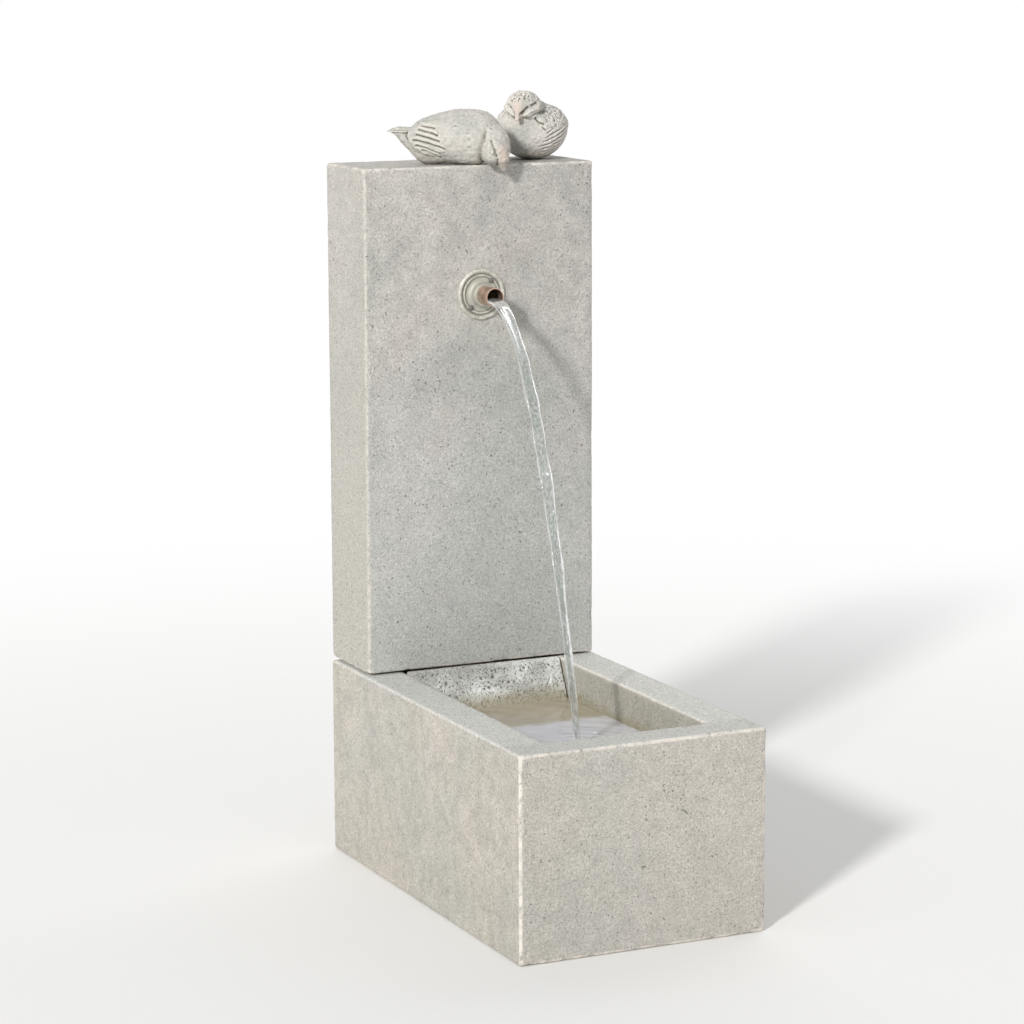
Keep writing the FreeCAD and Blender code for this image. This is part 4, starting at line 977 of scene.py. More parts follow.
def build_slab(settings):
    """The pump cover with its open, pitted faces."""
    stone = settings.stone
    mesh = recast("slab_casting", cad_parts["pump_cover_slab"].data.copy(), stone.slab_net)
    set_points(mesh, raise_lip(points_of(mesh)))
    weather(mesh, stone.slab_net, stone.chip * 0.15, 0.0, 71)
    points = points_of(mesh)
    holes = [
        pits(points, spacing, stone.slab_pit * radius, fraction, seed) * deep
        for spacing, radius, fraction, seed, deep in SLAB_PITS
    ]
    depth = np.max(holes, axis=0) * stone.slab_pit
    depth += (layered(points, 0.006, 40) - 0.35).clip(0) * 0.0014
    # The top edge stays whole, close under the column
    depth *= 0.15 + 0.85 * smooth_step(SLAB_HIGH.z - points[:, 2], 0.0, SLAB_TOP_REACH)
    set_points(mesh, points - normals_of(mesh) * depth[:, None])
    mark_relief(mesh, 8)
    material = slab_stone(settings)
    new_piece("slab_casting", mesh, "cover_slab", material, "pump_cover_slab")


# Birds, shaped in hundredths of their own length from their seats, +X towards the beak, +Z up

# Forms: an egg's centre, radii, tip and turn in degrees, and its fillet with what comes before
LEFT_BODY = (
    ((-15, 0, 20.8), (23, 17, 18.8), -8, 0, 0),
    ((6, 0, 22.3), (30, 21.5, 22.6), 0, 0, 6.0),
    ((20, 0, 22.2), (20, 19, 21.4), 18, 0, 6.0),
    ((-19, 0, 11.0), (12.5, 10.0, 10.6), 0, 0, 6.0),
    ((-11.5, -13.6, 22.3), (25.5, 8.6, 14.2), -3, -3, 2.5),
    ((-11.5, 13.6, 22.3), (25.5, 8.6, 14.2), -3, 3, 2.5),
)
LEFT_TAIL = (
    ((-40, 0, 27.2), (15, 7.5, 3.0), 0, 0, 0),
    ((-36.6, 0, 19.0), (15, 8.5, 5.5), 43, 0, 3.0),
)
LEFT_HEAD = ((33.3, -6.2, 15.6), (13.7, 14.2, 17.4), 0, -10, 3.4)
LEFT_BROW = ((39.8, -8.0, 8.0), (6.6, 6.6, 9.2), 0, -12, 3.0)
LEFT_BEAK = ((40.0, -9.0, 3.6), (42.6, -10.4, -4.7), 4.4, 1.0)
RIGHT_FORMS = (
    ((-2, -2.0, 29.3), (36, 35.5, 29.8), 0, 0, 0),
    ((9, -1.5, 35.5), (28, 27.5, 25.5), 0, 0, 5.0),
    ((-6, 14.5, 33.5), (27, 18.8, 20.5), 0, 0, 5.0),
    ((3, -18.0, 35.0), (26, 19.0, 19.5), 0, 0, 5.0),
    ((10, -1.5, 47.0), (20, 21, 15.5), 0, 0, 5.0),
    ((-38, 0, 20.5), (19, 12, 5.0), -8, 0, 6.0),
    ((26.5, -0.6, 57.2), (17.2, 18.9, 15.6), 10, 0, 2.4),
    ((31, -10.6, 49.0), (10.5, 5.0, 5.0), 11, 32, 1.6),
    ((31, 10.6, 49.0), (10.5, 5.0, 5.0), 11, -32, 1.6),
    ((37.5, 0, 53.5), (8.0, 7.6, 10.0), 30, 0, 3.4),
)
RIGHT_BEAK = ((42.0, 0, 52.0), (46.8, 0, 44.0), 5.4, 2.3)

# The lying bird's folded wing, as (x, z): grooves between its long feathers, and its rear edge
WING_GROOVES = (
    ((-24.0, 32.4), (-13.5, 30.4)),
    ((-26.5, 29.6), (-11.0, 24.6)),
    ((-28.5, 25.6), (-9.5, 19.8)),
    ((-30.9, 21.5), (-5.3, 13.9)),
    ((-29.0, 16.6), (-9.5, 9.6)),
    ((-23.5, 12.2), (-10.0, 6.6)),
)
WING_EDGE_X = (-27.0, -32.5, -35.6, -36.4, -34.4, -30.0, -23.0)
WING_EDGE_Z = (34.5, 32.2, 28.4, 23.6, 18.4, 14.2, 9.8)
WING_EDGE = np.column_stack((WING_EDGE_X, WING_EDGE_Z))

# Marks on a face: height, breadth and the points that each runs through. The lying bird's are
# measured from the middle of its head: groove over the eye, mouth, socket, eye and bill
LEFT_REACH = 15
LEFT_EYE = ((3.0, 13.6, -4.2), (3.2, 13.4, -5.0))
LEFT_BILL = ((9.5, 9.0, -2.0), (10.9, 6.4, -9.0), (10.8, 3.0, -16.0))
LEFT_LID = ((2, 13.8, 4.6), (2.8, 13.8, 1.3), (5.2, 13.1, -2.9), (5.5, 12.4, -6.5), (6.6, 11, -8.9))
LEFT_GAPE = ((6.6, 9.5, -11.6), (5.6, 7.2, -15.0), (5.2, 4.6, -18.0))
LEFT_MARKS = (
    (-1.7, 1.35, LEFT_LID),
    (-1.5, 1.0, LEFT_GAPE),
    (-1.3, 2.4, LEFT_EYE),
    (2.9, 1.3, LEFT_EYE),
    (0.9, 3.0, LEFT_BILL),
)
# The sitting bird's: the dark line over each eye, the cheek, the jaw and the eye, then the creases
# at its throat and beside each wing
RIGHT_REACH = 18
RIGHT_FACE = (26.0, 0.0, 53.0)
RIGHT_BILL = ((43.0, 0.0, 58.0), (46.5, 0.0, 50.0), (46.0, 0.0, 43.0))
RIGHT_BROW = (
    *((45.0, 4.6, 48.4), (43.2, 6.2, 50.4), (41.2, 9.8, 54.8)),
    *((38.2, 14.2, 57.6), (31.0, 18.2, 60.5)),
)
RIGHT_CHEEK = ((43.0, 7.4, 47.4), (38.5, 13.2, 51.8), (31.5, 18.0, 55.0))
RIGHT_JAW = (
    *((40.5, 4.6, 42.4), (36.8, 9.0, 44.0), (33.1, 14.9, 47.5)),
    *((23.5, 18.7, 49.8), (15.7, 20.2, 52.4)),
)
RIGHT_EYE = ((40.0, 12.2, 56.2), (39.6, 12.8, 56.6))
RIGHT_THROAT = ((30.1, 14.6, 43.4), (28.7, 18.0, 39.6), (25.4, 21.6, 38.0))
RIGHT_FOLD = ((28.0, 20.5, 35.0), (20.0, 28.0, 26.0), (10.0, 33.0, 16.0))
RIGHT_MARKS = (
    (-3.6, 1.7, RIGHT_BROW),
    (1.6, 1.8, RIGHT_CHEEK),
    (-2.8, 1.6, RIGHT_JAW),
    (2.2, 1.3, RIGHT_EYE),
)


def turned_axes(tip, turn):
    """Axes of a form tipped nose down and turned to the bird's left, in degrees."""
    axes = Matrix.Rotation(math.radians(turn), 3, "Z") @ Matrix.Rotation(math.radians(tip), 3, "Y")
    return np.array(axes)


def egg(points, centre, radii, tip=0.0, turn=0.0):
    """Distance from an ellipsoid, below zero inside it."""
    local = (points - np.array(centre)) @ turned_axes(tip, turn)
    scaled = local / np.array(radii)
    reach = np.linalg.norm(scaled, axis=1) + 1e-9
    slope = np.linalg.norm(scaled / np.array(radii), axis=1) + 1e-9
    return reach * (reach - 1) / slope


def spike(points, start, end, first, last):
    """Distance from a round bar that tapers from one radius to another."""
    start, end = np.array(start, float), np.array(end, float)
    run = end - start
    part = np.clip((points - start) @ run / (run @ run), 0, 1)
    away = np.linalg.norm(points - start - part[:, None] * run, axis=1)
    return away - (first + (last - first) * part)


def blend_forms(first, second, reach):
    """Two forms in one, with a fillet of about reach between them."""
    part = np.clip(0.5 + 0.5 * (second - first) / reach, 0, 1)
    return second + (first - second) * part - reach * part * (1 - part)


def eggs(points, forms, whole=None):
    """Many eggs in one form, which may start from another."""
    for *shape, fillet in forms:
        form = egg(points, *shape)
        whole = form if whole is None else blend_forms(whole, form, fillet)
    return whole


def stroke(points, path, radius):
    """1 along a line through the given points, fading over about radius beside it."""
    nearest = [spike(points, start, end, 0.0, 0.0) for start, end in zip(path, path[1:])]
    return bell(np.min(nearest, axis=0), radius)


def carved(points, centre, size, path, radius):
    """A stroke on a head's skin, along the directions in which its path lies from the centre."""
    away = points - np.array(centre)
    reach = np.linalg.norm(away, axis=1, keepdims=True)
    heads = np.array(path) - centre
    heads = heads / np.linalg.norm(heads, axis=1, keepdims=True) * size
    near = smooth_step(-reach[:, 0], -1.9 * size, -1.5 * size)
    return near * stroke(away / reach * size, heads, radius)


def feather_tips(across, along, size, seed_points):
    """Cuts round the tips of overlapping small feathers, in rows that alternate."""
    row = np.floor(along / size)
    wander = 0.25 * (noise(seed_points, size * 1.7, 5) - 0.5)
    shifted = across / size + 0.5 * (row % 2) + wander
    u = (shifted - np.floor(shifted)) * 2 - 1
    v = along / size - row
    edge = v - 0.8 * np.sqrt(np.clip(1 - u * u, 0, 1)) - 0.08
    return bell(edge, 0.16) - 0.35 * smooth_step(v, 0.0, 0.8) * (edge < 0)


def left_form(p):
    """The bird that lies along the column and bends its head over the edge."""
    form = blend_forms(eggs(p, LEFT_BODY), eggs(p, LEFT_TAIL), 2.5)
    form = eggs(p, (LEFT_HEAD, LEFT_BROW), form)
    return blend_forms(form, spike(p, *LEFT_BEAK), 1.4)


def right_form(p):
    """The bird that sits puffed up and turns its face down."""
    return blend_forms(eggs(p, RIGHT_FORMS), spike(p, *RIGHT_BEAK), 1.2)


def left_relief(p):
    """Heights of the lying bird's feathers, creases and face, and 1 on its bill and brow."""
    x, y, z = p.T
    side = np.abs(y)
    on_side = smooth_step(side, 5, 9)
    wander = (noise(p, 7.0, 3) - 0.5) * 1.6
    height = np.zeros(len(p))
    # The long feathers droop away from the middle of the wing
    flat = np.stack([x, z], axis=1)
    bent = np.stack([x, z + wander * 0.45 + 0.0085 * (x + 18) ** 2 - 0.5], axis=1)
    for groove in WING_GROOVES:
        height -= 1.7 * on_side * stroke(bent, groove, 0.85)
        height += 0.5 * on_side * stroke(bent - np.array([0, 1.9]), groove, 1.1)
    height -= 1.3 * on_side * stroke(flat, WING_EDGE - (1.0, 0.6), 0.9)
    height += 0.8 * on_side * stroke(flat, WING_EDGE + (1.6, 0.6), 1.5)
    # Small feathers, only here and there as sharp as the long ones
    sharp = smooth_step(noise(p, 6.0, 51), 0.45, 0.72)
    coverts = smooth_step(x, -12, -6) * smooth_step(-x, -20, -14) * smooth_step(side, 4, 8)
    coverts *= smooth_step(z, 6, 10) * (0.15 + 0.85 * sharp)
    height -= 0.26 * coverts * feather_tips(z + wander * 1.5, -x + wander, 5.0, p)
    back = smooth_step(z, 30, 36) * smooth_step(x, -26, -18) * (0.1 + 0.9 * sharp)
    height -= 0.24 * back * feather_tips(y + wander * 1.5, -x + wander, 5.5, p)
    # Soft rows of down, calmer along the crease behind the head
    edge = egg(p, *LEFT_HEAD[:4]) - 0.9
    behind = smooth_step(-x, -31, -27) * smooth_step(-z, -36, -28)
    down = 1.1 * (layered(p * np.array([0.6, 1, 1]), 2.4, 83, 2) - 0.5) * smooth_step(x, -14, -6)
    down += 1.3 * (layered(p * np.array([1, 1, 0.6]), 3.6, 8) - 0.5) * smooth_step(x, 8, 16)
    down += 1.0 * (layered(p, 3.0, 61, 2) - 0.5)
    height += down * (1 - behind * bell(edge, 3.2))
    height -= 2.4 * behind * bell(edge, 1.4)
    # The cheek and, alike on both sides, the face
    cheek = bell(np.linalg.norm(p - np.array((27.0, -18.0, 13.0)), axis=1), 9.0)
    height += 1.2 * cheek * (layered(p, 3.2, 12) - 0.4)
    face = (p - np.array(LEFT_HEAD[0])) @ turned_axes(0, LEFT_HEAD[3])
    face[:, 1] = np.abs(face[:, 1])
    for rise, breadth, path in LEFT_MARKS:
        height += rise * carved(face, (0, 0, 0), LEFT_REACH, path, breadth)
    # Grooves between the tail's feathers
    on_tail = smooth_step(-x, 33, 38)
    height -= 1.2 * on_tail * bell(z - 28.4, 0.6)
    height -= 0.8 * on_tail * bell(z - 25.6, 0.5)
    for groove in (-2.6, 2.6):
        height -= 0.9 * on_tail * smooth_step(z, 28, 30) * bell(y - groove, 0.6)
    return height, carved(face, (0, 0, 0), LEFT_REACH, LEFT_BILL, 4.4)


def right_relief(p):
    """Heights of the sitting bird's feathers, creases and face, and 1 on its bill and brow."""
    x, y, z = p.T
    side = np.abs(y)
    mirrored = np.stack([x, side, z], axis=1)
    wander = (noise(p, 8.0, 3) - 0.5) * 2.4
    height = 0.6 * (layered(p, 2.8, 71, 2) - 0.5)
    for rise, breadth, path in RIGHT_MARKS:
        height += rise * carved(mirrored, RIGHT_FACE, RIGHT_REACH, path, breadth)
    nostril = np.linalg.norm(mirrored - np.array((44.2, 2.4, 51.0)), axis=1)
    height -= 1.2 * bell(nostril, 1.1)
    # The crown's short down and the cheeks
    crown = smooth_step(z, 58, 64) * smooth_step(x, 6, 14)
    tufts = smooth_step(noise(p, 1.8, 29), 0.56, 0.8)
    height += crown * (2.5 * (layered(p, 3.2, 17, 2) - 0.9) - 1.3 * tufts)
    cheek = stroke(mirrored, ((37.5, 6.5, 48.0), (24.0, 16.0, 51.0)), 5.0)
    height += 1.6 * cheek * (layered(p, 3.0, 41, 2) - 0.5)
    # Breast, with a crease under the jaw and one beside each wing
    front = smooth_step(x, 4, 14) * smooth_step(-z, -44, -36)
    height += 1.7 * front * (layered(p * np.array([1, 1, 0.7]), 4.0, 23, 3) - 0.5)
    height -= 2.4 * stroke(mirrored, RIGHT_THROAT, 1.4)
    height -= 1.3 * stroke(mirrored, RIGHT_FOLD, 1.2)
    # Wings: rough above, slanting long feathers below
    on_wing = smooth_step(side, 13, 20) * smooth_step(-x, -27, -20)
    height += 3.8 * on_wing * smooth_step(z, 30, 35) * (layered(p, 2.4, 33, 2) - 0.5)
    lower = on_wing * smooth_step(-z, -36, -30) * smooth_step(z, 7, 12)
    across = (x * 0.42 + z * 0.9 + wander * 0.8) / 4.2
    height -= 1.5 * lower * bell(across - np.floor(across) - 0.5, 0.17)
    mane = smooth_step(z, 42, 48) * smooth_step(-x, -16, -10)
    height -= 0.9 * mane * feather_tips(y + wander, -x, 6.0, p)
    for groove in (-5.4, 0.0, 5.4):
        height -= 1.0 * smooth_step(-x, 34, 40) * bell(y - groove, 0.8)
    return height, carved(p, RIGHT_FACE, RIGHT_REACH, RIGHT_BILL, 5.0)


SETTLE_ROUNDS = (8, 4)  # steps onto the form, for each of two castings
SETTLE_PROBE = 0.02
SETTLE_STEP = 2.5  # the longest step
SEAT_GAP = 0.0002  # how far a bird stays off the column's top
FACE_GAP = 0.0004  # and off its face


def pin_place(side):
    """The middle of the left (-1) or right (1) bird's pin."""
    pins = points_of(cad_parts["bird_dowels"].data)
    middle = (pins[:, 0].min() + pins[:, 0].max()) / 2
    pin = pins[(pins[:, 0] - middle) * side > 0]
    return (pin.min(0) + pin.max(0)) / 2


def settle(points, form, rounds):
    """Moves points onto a form's surface."""
    for _ in range(rounds):
        value = form(points)
        gradient = np.empty_like(points)
        for axis, step in enumerate(np.eye(3) * SETTLE_PROBE):
            rise = form(points + step) - form(points - step)
            gradient[:, axis] = rise / (2 * SETTLE_PROBE)
        size = np.clip((gradient**2).sum(1), 0.05, None)
        value = np.clip(value, -SETTLE_STEP, SETTLE_STEP)
        points = points - value[:, None] * gradient / size[:, None]
    return points


def keep_off_column(points):
    """Lifts what would sink into the column's top, or brings it out in front of its face."""
    top = COLUMN_HIGH.z + SEAT_GAP
    face = COLUMN_LOW.y - FACE_GAP
    rise = top - points[:, 2]
    forward = points[:, 1] - face
    inside = (rise > 0) & (forward > 0)
    points[inside & (rise <= forward), 2] = top
    points[inside & (rise > forward), 1] = face
    return points


def build_bird(name, side, heading, size, cream, form, relief, settings):
    """One cast bird, in place of its CAD node."""
    node_name = name + "_bird"
    seat = np.array((*pin_place(side)[:2], COLUMN_HIGH.z))
    turn = np.array(Matrix.Rotation(heading, 3, "Z"))
    unit = size / 100
    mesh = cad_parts[node_name].data.copy()
    for rounds in SETTLE_ROUNDS:
        mesh = recast(node_name + "_casting", mesh, settings.birds.net, sharp=False)
        local = settle((points_of(mesh) - seat) @ turn / unit, form, rounds)
        local = smoothed(local, edges_of(mesh), 1)
        set_points(mesh, seat + local @ turn.T * unit)
    points = points_of(mesh)
    height, bill = relief((points - seat) @ turn / unit)
    points += normals_of(mesh) * (height * unit)[:, None]
    points = keep_off_column(smoothed(points, edges_of(mesh), 2))
    set_points(mesh, keep_in_frame(points))
    set_value(mesh, "beak", bill)
    mark_relief(mesh, 8)
    material = bird_stone(settings, node_name + "_stone", cream)
    new_piece(node_name + "_casting", mesh, "fountain", material, node_name)


# Water

GRAVITY = 9.81
JET_STEPS = 320
JET_SIDES = 64
JET_SETTLE = 0.06  # how far the water falls before it has drawn together
JET_FLARE = 0.004  # how much wider it is in the tube
JET_FACING = (1.0, -0.15, 0.0)  # the way in which the sheet is broad
JET_SWELLS = ((0.07, 46, 0), (0.04, 101, 2))  # share of the width, radians in a metre, start
JET_TWIST = 0.35
TUBE_FILL = 0.03  # how far back in the tube the water is seen

# The pool's edges, where the basin's inner walls are at its level
POOL_HALF = 0.1295
POOL_FRONT = BASIN_LOW.y + 0.0595
POOL_BACK = BASIN_HIGH.y - 0.0415
POOL_NET = (150, 330)
POOL_TAPER = 0.0045  # how far in the basin's walls lean at the pool's underside
RING_PITCH = 0.021
RING_FADE = 0.05
POOL_SWELL = 0.0005
POOL_MOUND = (0.0022, 0.011)  # height and breadth of the mound where the jet goes in
POOL_SINK = 0.0006  # how far all this lies under the pool's level


def jet_centre(water, t):
    """Where the middle of the jet is, t seconds after it leaves the tube."""
    start = Vector((0.0, TUBE_LOW.y + 0.002, SPOUT_Z - water.sink))
    return start + Vector((water.drift * t, -water.speed * t, -(GRAVITY / 2 * t * t)))


def jet_time(water):
    """How long the jet takes to reach the pool."""
    return math.sqrt(2 * (SPOUT_Z - water.sink - water.level) / GRAVITY)


def jet_ring(water, t, fallen, gone):
    """The jet's outline at a time, when it has fallen a length, which is a share of its fall."""
    centre = jet_centre(water, t)
    ahead = (jet_centre(water, t + 0.001) - centre).normalized()
    side = Vector(JET_FACING)
    side = (side - ahead * side.dot(ahead)).normalized()
    front = side.cross(ahead).normalized()
    settled = min(1.0, fallen / JET_SETTLE)
    settled = settled * settled * (3 - 2 * settled)
    width = water.foot + (water.mouth - water.foot) * (1 - gone**1.3)
    width += JET_FLARE * (1 - settled)
    swells = [part * math.sin(fallen * rate + start) for part, rate, start in JET_SWELLS]
    width *= 1 + settled * sum(swells)
    thick = width * (0.38 + 0.34 * gone + settled * 0.07 * math.sin(fallen * 31 + 1.0))
    twist = settled * JET_TWIST * math.sin(fallen * 15)
    ring = []
    for k in range(JET_SIDES):
        around = 2 * math.pi * k / JET_SIDES
        rope = 1 + settled * 0.07 * math.cos(3 * around + fallen * 60)
        rope += settled * 0.035 * math.cos(6 * around - fallen * 130)
        thin = 1 - settled * (0.78 - 0.36 * gone) * math.sin(around) ** 2
        x = width / 2 * math.cos(around) * rope
        y = thick / 2 * math.sin(around) * rope * thin
        across = x * math.cos(twist) - y * math.sin(twist)
        forward = x * math.sin(twist) + y * math.cos(twist)
        ring.append(centre + side * across + front * forward)
    return ring


def build_jet(water):
    """The falling jet: a slowly twisting sheet of water between two thicker rims."""
    total = jet_time(water)
    start = jet_centre(water, 0)
    drop = (jet_centre(water, total) - start).length
    rings = []
    for i in range(JET_STEPS + 1):
        t = total * i / JET_STEPS
        fallen = (jet_centre(water, t) - start).length
        rings.append(jet_ring(water, t, fallen, fallen / drop))
    rings.insert(0, [point + Vector((0.0, TUBE_FILL, 0.0)) for point in rings[0]])
    last = (len(rings) - 1) * JET_SIDES
    faces = grid_faces(len(rings), JET_SIDES, closed=True)
    faces.append(tuple(range(JET_SIDES - 1, -1, -1)))
    faces.append(tuple(range(last, last + JET_SIDES)))
    mesh = new_mesh("falling_water", [point for ring in rings for point in ring], faces)
    # Marks both rims, where white is painted as a highlight
    around = np.cos(2 * np.pi * np.arange(JET_SIDES) / JET_SIDES) ** 2
    set_value(mesh, "rim", np.tile(smooth_step(around, 0.50, 0.85), len(rings)))
    new_piece("falling_water", mesh, "fountain", jet_water(water))


def build_pool(water):
    """The standing water, from wall to wall, with rings where the jet goes in."""
    landing = jet_centre(water, jet_time(water))
    half = POOL_HALF + water.tuck
    front = POOL_FRONT - water.tuck
    back = POOL_BACK + water.tuck
    columns, rows = POOL_NET
    vertices = []
    for j in range(rows + 1):
        for i in range(columns + 1):
            x = -half + 2 * half * i / columns
            y = front + (back - front) * j / rows
            away = math.hypot(x - landing.x, y - landing.y)
            ring = water.ripple * math.cos(away * 2 * math.pi / RING_PITCH)
            ring *= math.exp(-away / RING_FADE)
            swell = POOL_SWELL * math.sin(x * 95 + 2 * math.sin(y * 40)) * math.sin(y * 70 + x * 25)
            mound = POOL_MOUND[0] * math.exp(-((away / POOL_MOUND[1]) ** 2))
            vertices.append((x, y, water.level + ring + swell + mound - POOL_SINK))
    across = columns + 1
    faces = grid_faces(rows + 1, across, closed=False)
    outline = list(range(across))
    outline += [j * across + columns for j in range(1, rows + 1)]
    outline += [rows * across + i for i in range(columns - 1, -1, -1)]
    outline += [j * across for j in range(rows - 1, 0, -1)]
    base = len(vertices)
    for index in outline:
        x, y, _ = vertices[index]
        vertices.append((x * (half - POOL_TAPER) / half, y, water.depth))
    count = len(outline)
    for k in range(count):
        n = (k + 1) % count
        faces.append((outline[n], outline[k], base + k, base + n))
    faces.append(tuple(base + k for k in range(count - 1, -1, -1)))
    mesh = new_mesh("pool_water", vertices, faces)
    new_piece("pool_water", mesh, "fountain", pool_water(water))


# Stage

# Where the lamps stand, seen from the fountain, and how broad they look, in degrees
KEY_LAMP = ((-0.70, -0.56, 0.42), 6)
FILL_LAMP = ((0.50, 0.70, 0.55), 70)
SKY_TONE = (0.97, 0.985, 1.0)
SENSOR = 36.0
FAR = 500.0
FLOOR_GAP = 0.0004
FLOOR_FADE = (0.75, 3.2)  # how far from the fountain the floor starts and ends fading to white


def build_camera(stage):
    """The camera, at the angle that the fountain was seen from."""
    level = math.cos(stage.pitch)
    forward = (math.sin(stage.yaw) * level, math.cos(stage.yaw) * level, -math.sin(stage.pitch))
    forward = Vector(forward)
    right = Vector((math.cos(stage.yaw), -math.sin(stage.yaw), 0.0))
    up = right.cross(forward)
    tipped_right = right * math.cos(stage.roll) + up * math.sin(stage.roll)
    tipped_up = up * math.cos(stage.roll) - right * math.sin(stage.roll)
    data = bpy.data.cameras.new("camera")
    data.lens = stage.lens
    data.sensor_width = SENSOR
    data.sensor_fit = "HORIZONTAL"
    data.shift_x = stage.shift_x
    data.shift_y = stage.shift_y
    data.clip_end = FAR
    camera = bpy.data.objects.new("camera", data)
    turn = Matrix((tipped_right, tipped_up, -forward)).transposed()
    camera.matrix_world = Matrix.Translation(stage.place) @ turn.to_4x4()
    bpy.context.scene.collection.objects.link(camera)
    bpy.context.scene.camera = camera


def build_lamp(name, strength, towards, breadth):
    """A distant soft lamp."""
    data = bpy.data.lights.new(name, "SUN")
    data.energy = strength
    data.angle = math.radians(breadth)
    lamp = bpy.data.objects.new(name, data)
    lamp.rotation_euler = Vector(towards).to_track_quat("Z", "Y").to_euler()
    bpy.context.scene.collection.objects.link(lamp)


def seen_directly(tree):
    """1 for what the camera, a mirror or glass looks at, 0 for light."""
    return rays(tree, "Camera", "Glossy", "Transmission")


def build_world(stage):
    """Even light, and plain white where the camera looks past the floor."""
    world = bpy.data.worlds.new("studio")
    world.use_nodes = True
    tree = world.node_tree
    tree.nodes.clear()
    even = node(tree, "Background", {"Color": SKY_TONE, "Strength": stage.sky})
    white = node(tree, "Background", {"Color": WHITE, "Strength": 1.0})
    joined = node(tree, "MixShader", {0: seen_directly(tree), 1: Wire(even), 2: Wire(white)})
    node(tree, "OutputWorld", {"Surface": Wire(joined)})
    bpy.context.scene.world = world


def build_floor(stage):
    """A pale floor that keeps the shadow and fades to white."""
    mesh = bpy.data.meshes.new("floor")
    shape = bmesh.new()
    bmesh.ops.create_circle(shape, cap_ends=True, segments=96, radius=stage.floor_reach)
    shape.to_mesh(mesh)
    shape.free()
    floor = bpy.data.objects.new("floor", mesh)
    floor.location = (0.0, 0.0, -FLOOR_GAP)
    bpy.context.scene.collection.objects.link(floor)
    material, tree, shader, vector = blank_material("floor")
    feeds = {"Base Color": stage.floor, "Roughness": 0.9, "Specular IOR Level": 0.1}
    for key, value in feeds.items():
        feed(shader.inputs[key], value)
    white = node(tree, "Emission", {"Color": WHITE, "Strength": 1.0})
    fade = ramp(vector_calc("LENGTH", {0: vector}, "Value"), *FLOOR_FADE)
    show_instead(shader, fade * seen_directly(tree), white)
    dress(floor, material)


# Operators


class FOUNTAIN_OT_stage(bpy.types.Operator):
    """Sets up the camera, floor, lamps and world"""

    bl_idname = "fountain.stage"
    bl_label = "Stage"

    def execute(self, context):
        stage = context.scene.fountain.stage
        build_camera(stage)
        build_world(stage)
        build_floor(stage)
        build_lamp("key", stage.key, *KEY_LAMP)
        build_lamp("fill", stage.fill, *FILL_LAMP)
        context.scene.view_settings.view_transform = "Standard"
        return {"FINISHED"}


class FOUNTAIN_OT_stone(bpy.types.Operator):
    """Casts the column, the basin and the pump cover"""

    bl_idname = "fountain.stone"
    bl_label = "Stone"

    def execute(self, context):
        settings = context.scene.fountain
        stone = settings.stone
        build_stone("column", column_stone(settings), stone.column_net, 3, stone)
        build_stone("basin", basin_stone(settings), stone.basin_net, 9, stone)
        build_slab(settings)
        return {"FINISHED"}


class FOUNTAIN_OT_birds(bpy.types.Operator):
    """Casts both birds"""

    bl_idname = "fountain.birds"
    bl_label = "Birds"

    def execute(self, context):
        settings = context.scene.fountain
        birds = settings.birds
        # The lying bird takes the darker buff tone, a painted shade
        left = (birds.left_heading, birds.left_length, birds.buff, left_form, left_relief)
        right = (birds.right_heading, birds.right_length, birds.cream, right_form, right_relief)
        build_bird("left", -1, *left, settings)
        build_bird("right", 1, *right, settings)
        return {"FINISHED"}


class FOUNTAIN_OT_spout(bpy.types.Operator):
    """Finishes the rosette, the tube and what holds them"""

    bl_idname = "fountain.spout"
    bl_label = "Spout"

    def execute(self, context):
        metal = context.scene.fountain.metal
        dress_nodes(["rosette"], aged_bronze(metal))
        dress_nodes(["spout_tube"], old_copper(metal))
        # Tone, dust, breadth of the texture, roughness from and to, its depth, dust's share, metal
        screws = (metal.dull_steel, metal.lime, 0.001, 0.45, 0.8, 0.0002, 0.4, 0.6)
        steel = (metal.steel, (0.30, 0.28, 0.25), 0.0012, 0.25, 0.5, 0.00008, 0.4, 1.0)
        brass = (metal.brass, (0.36, 0.30, 0.18), 0.0015, 0.22, 0.5, 0.0001, 0.5, 1.0)
        dress_nodes(["rosette_screws"], handled("weathered_steel", *screws))
        dress_nodes(["hose_clamps", "bird_dowels"], handled("stainless", *steel))
        dress_nodes(["spout_nut", "spout_elbow"], handled("turned_brass", *brass))
        return {"FINISHED"}


# Finishes of the pump's pieces: the setting that gives the tone, breadth of the texture,
# roughness from and to, its depth and dust's share, then the nodes
PUMP_FINISHES = {
    "pump_black": (
        ("black", 0.0018, 0.35, 0.65, 0.00015, 0.3),
        ("pump_housing", "pump_volute", "strainer_cover", "outlet_adapter"),
    ),
    "impeller_white": (("white", 0.0018, 0.3, 0.55, 0.0001, 0.25), ("impeller",)),
    "dial_grey": (("grey", 0.0016, 0.35, 0.6, 0.00012, 0.3), ("flow_dial",)),
    "nylon": (("nylon", 0.0015, 0.4, 0.65, 0.0001, 0.2), ("wall_plugs", "spout_sleeve")),
    "rubber": (
        ("rubber", 0.0012, 0.6, 0.9, 0.0002, 0.35),
        ("cord_gland", "volute_seal", "spout_washer", "setting_pads", "suction_feet", "cord_bung"),
    ),
}


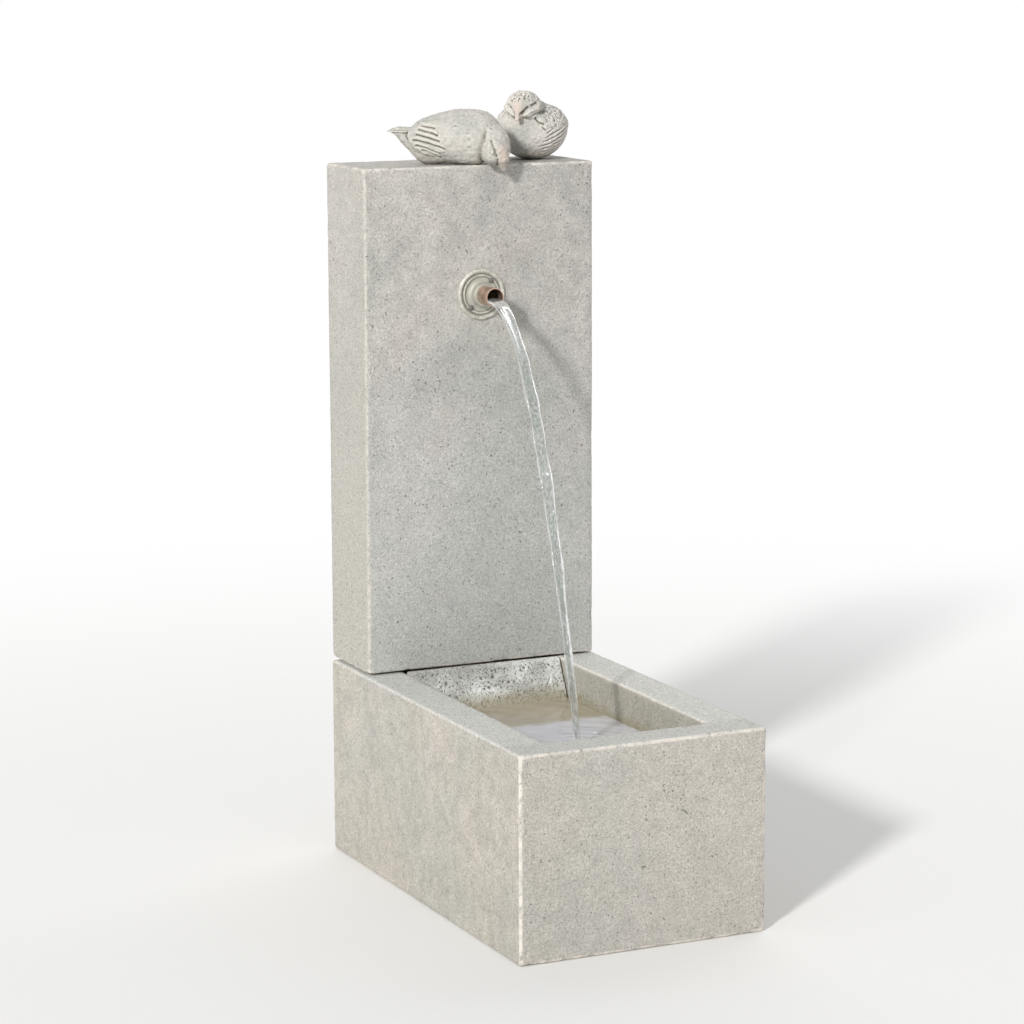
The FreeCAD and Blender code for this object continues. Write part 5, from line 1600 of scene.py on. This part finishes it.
class FOUNTAIN_OT_pump(bpy.types.Operator):
    """Finishes the pump, its plastics, rubbers, magnet and shaft"""

    bl_idname = "fountain.pump"
    bl_label = "Pump"

    def execute(self, context):
        pump = context.scene.fountain.pump
        for name, ((base, *wear), nodes) in PUMP_FINISHES.items():
            dress_nodes(nodes, handled(name, getattr(pump, base), pump.silt, *wear))
        ferrite = (pump.ferrite, (0.2, 0.18, 0.16), 0.0009, 0.4, 0.7, 0.0001, 0.3, 0.3)
        ceramic = (pump.ceramic, (0.62, 0.6, 0.55), 0.002, 0.08, 0.25, 0.00002, 0.15)
        dress_nodes(["rotor_magnet"], handled("ferrite", *ferrite))
        dress_nodes(["shaft_bushes", "rotor_shaft"], handled("ceramic", *ceramic))
        dress_nodes(["supply_tube"], clear_vinyl(pump))
        return {"FINISHED"}


class FOUNTAIN_OT_water(bpy.types.Operator):
    """Runs the jet and fills the pool"""

    bl_idname = "fountain.water"
    bl_label = "Water"

    def execute(self, context):
        water = context.scene.fountain.water
        build_jet(water)
        build_pool(water)
        return {"FINISHED"}


OPERATORS = (
    FOUNTAIN_OT_stage,
    FOUNTAIN_OT_stone,
    FOUNTAIN_OT_birds,
    FOUNTAIN_OT_spout,
    FOUNTAIN_OT_pump,
    FOUNTAIN_OT_water,
)


class FOUNTAIN_PT_sidebar(bpy.types.Panel):
    """Lists the fountain's settings and steps"""

    bl_idname = "FOUNTAIN_PT_sidebar"
    bl_label = "Garden Wall Fountain"
    bl_space_type = "VIEW_3D"
    bl_region_type = "UI"
    bl_category = "Fountain"

    def draw(self, context):
        settings = context.scene.fountain
        for name in settings.__annotations__:
            group = getattr(settings, name)
            box = self.layout.box()
            for key in group.__annotations__:
                box.prop(group, key)
        for operator in OPERATORS:
            self.layout.operator(operator.bl_idname)


CLASSES = (
    StoneSettings,
    BirdSettings,
    MetalSettings,
    PumpSettings,
    WaterSettings,
    StageSettings,
    FountainSettings,
    *OPERATORS,
    FOUNTAIN_PT_sidebar,
)


def register():
    """Adds the classes and the scene's settings."""
    for kind in CLASSES:
        bpy.utils.register_class(kind)
    bpy.types.Scene.fountain = PointerProperty(type=FountainSettings)


def unregister():
    """Takes the classes and the settings away again."""
    del bpy.types.Scene.fountain
    for kind in reversed(CLASSES):
        bpy.utils.unregister_class(kind)


def main():
    """Builds everything in order."""
    register()
    for operator in OPERATORS:
        group, name = operator.bl_idname.split(".")
        getattr(getattr(bpy.ops, group), name)()


if __name__ == "__main__":
    main()
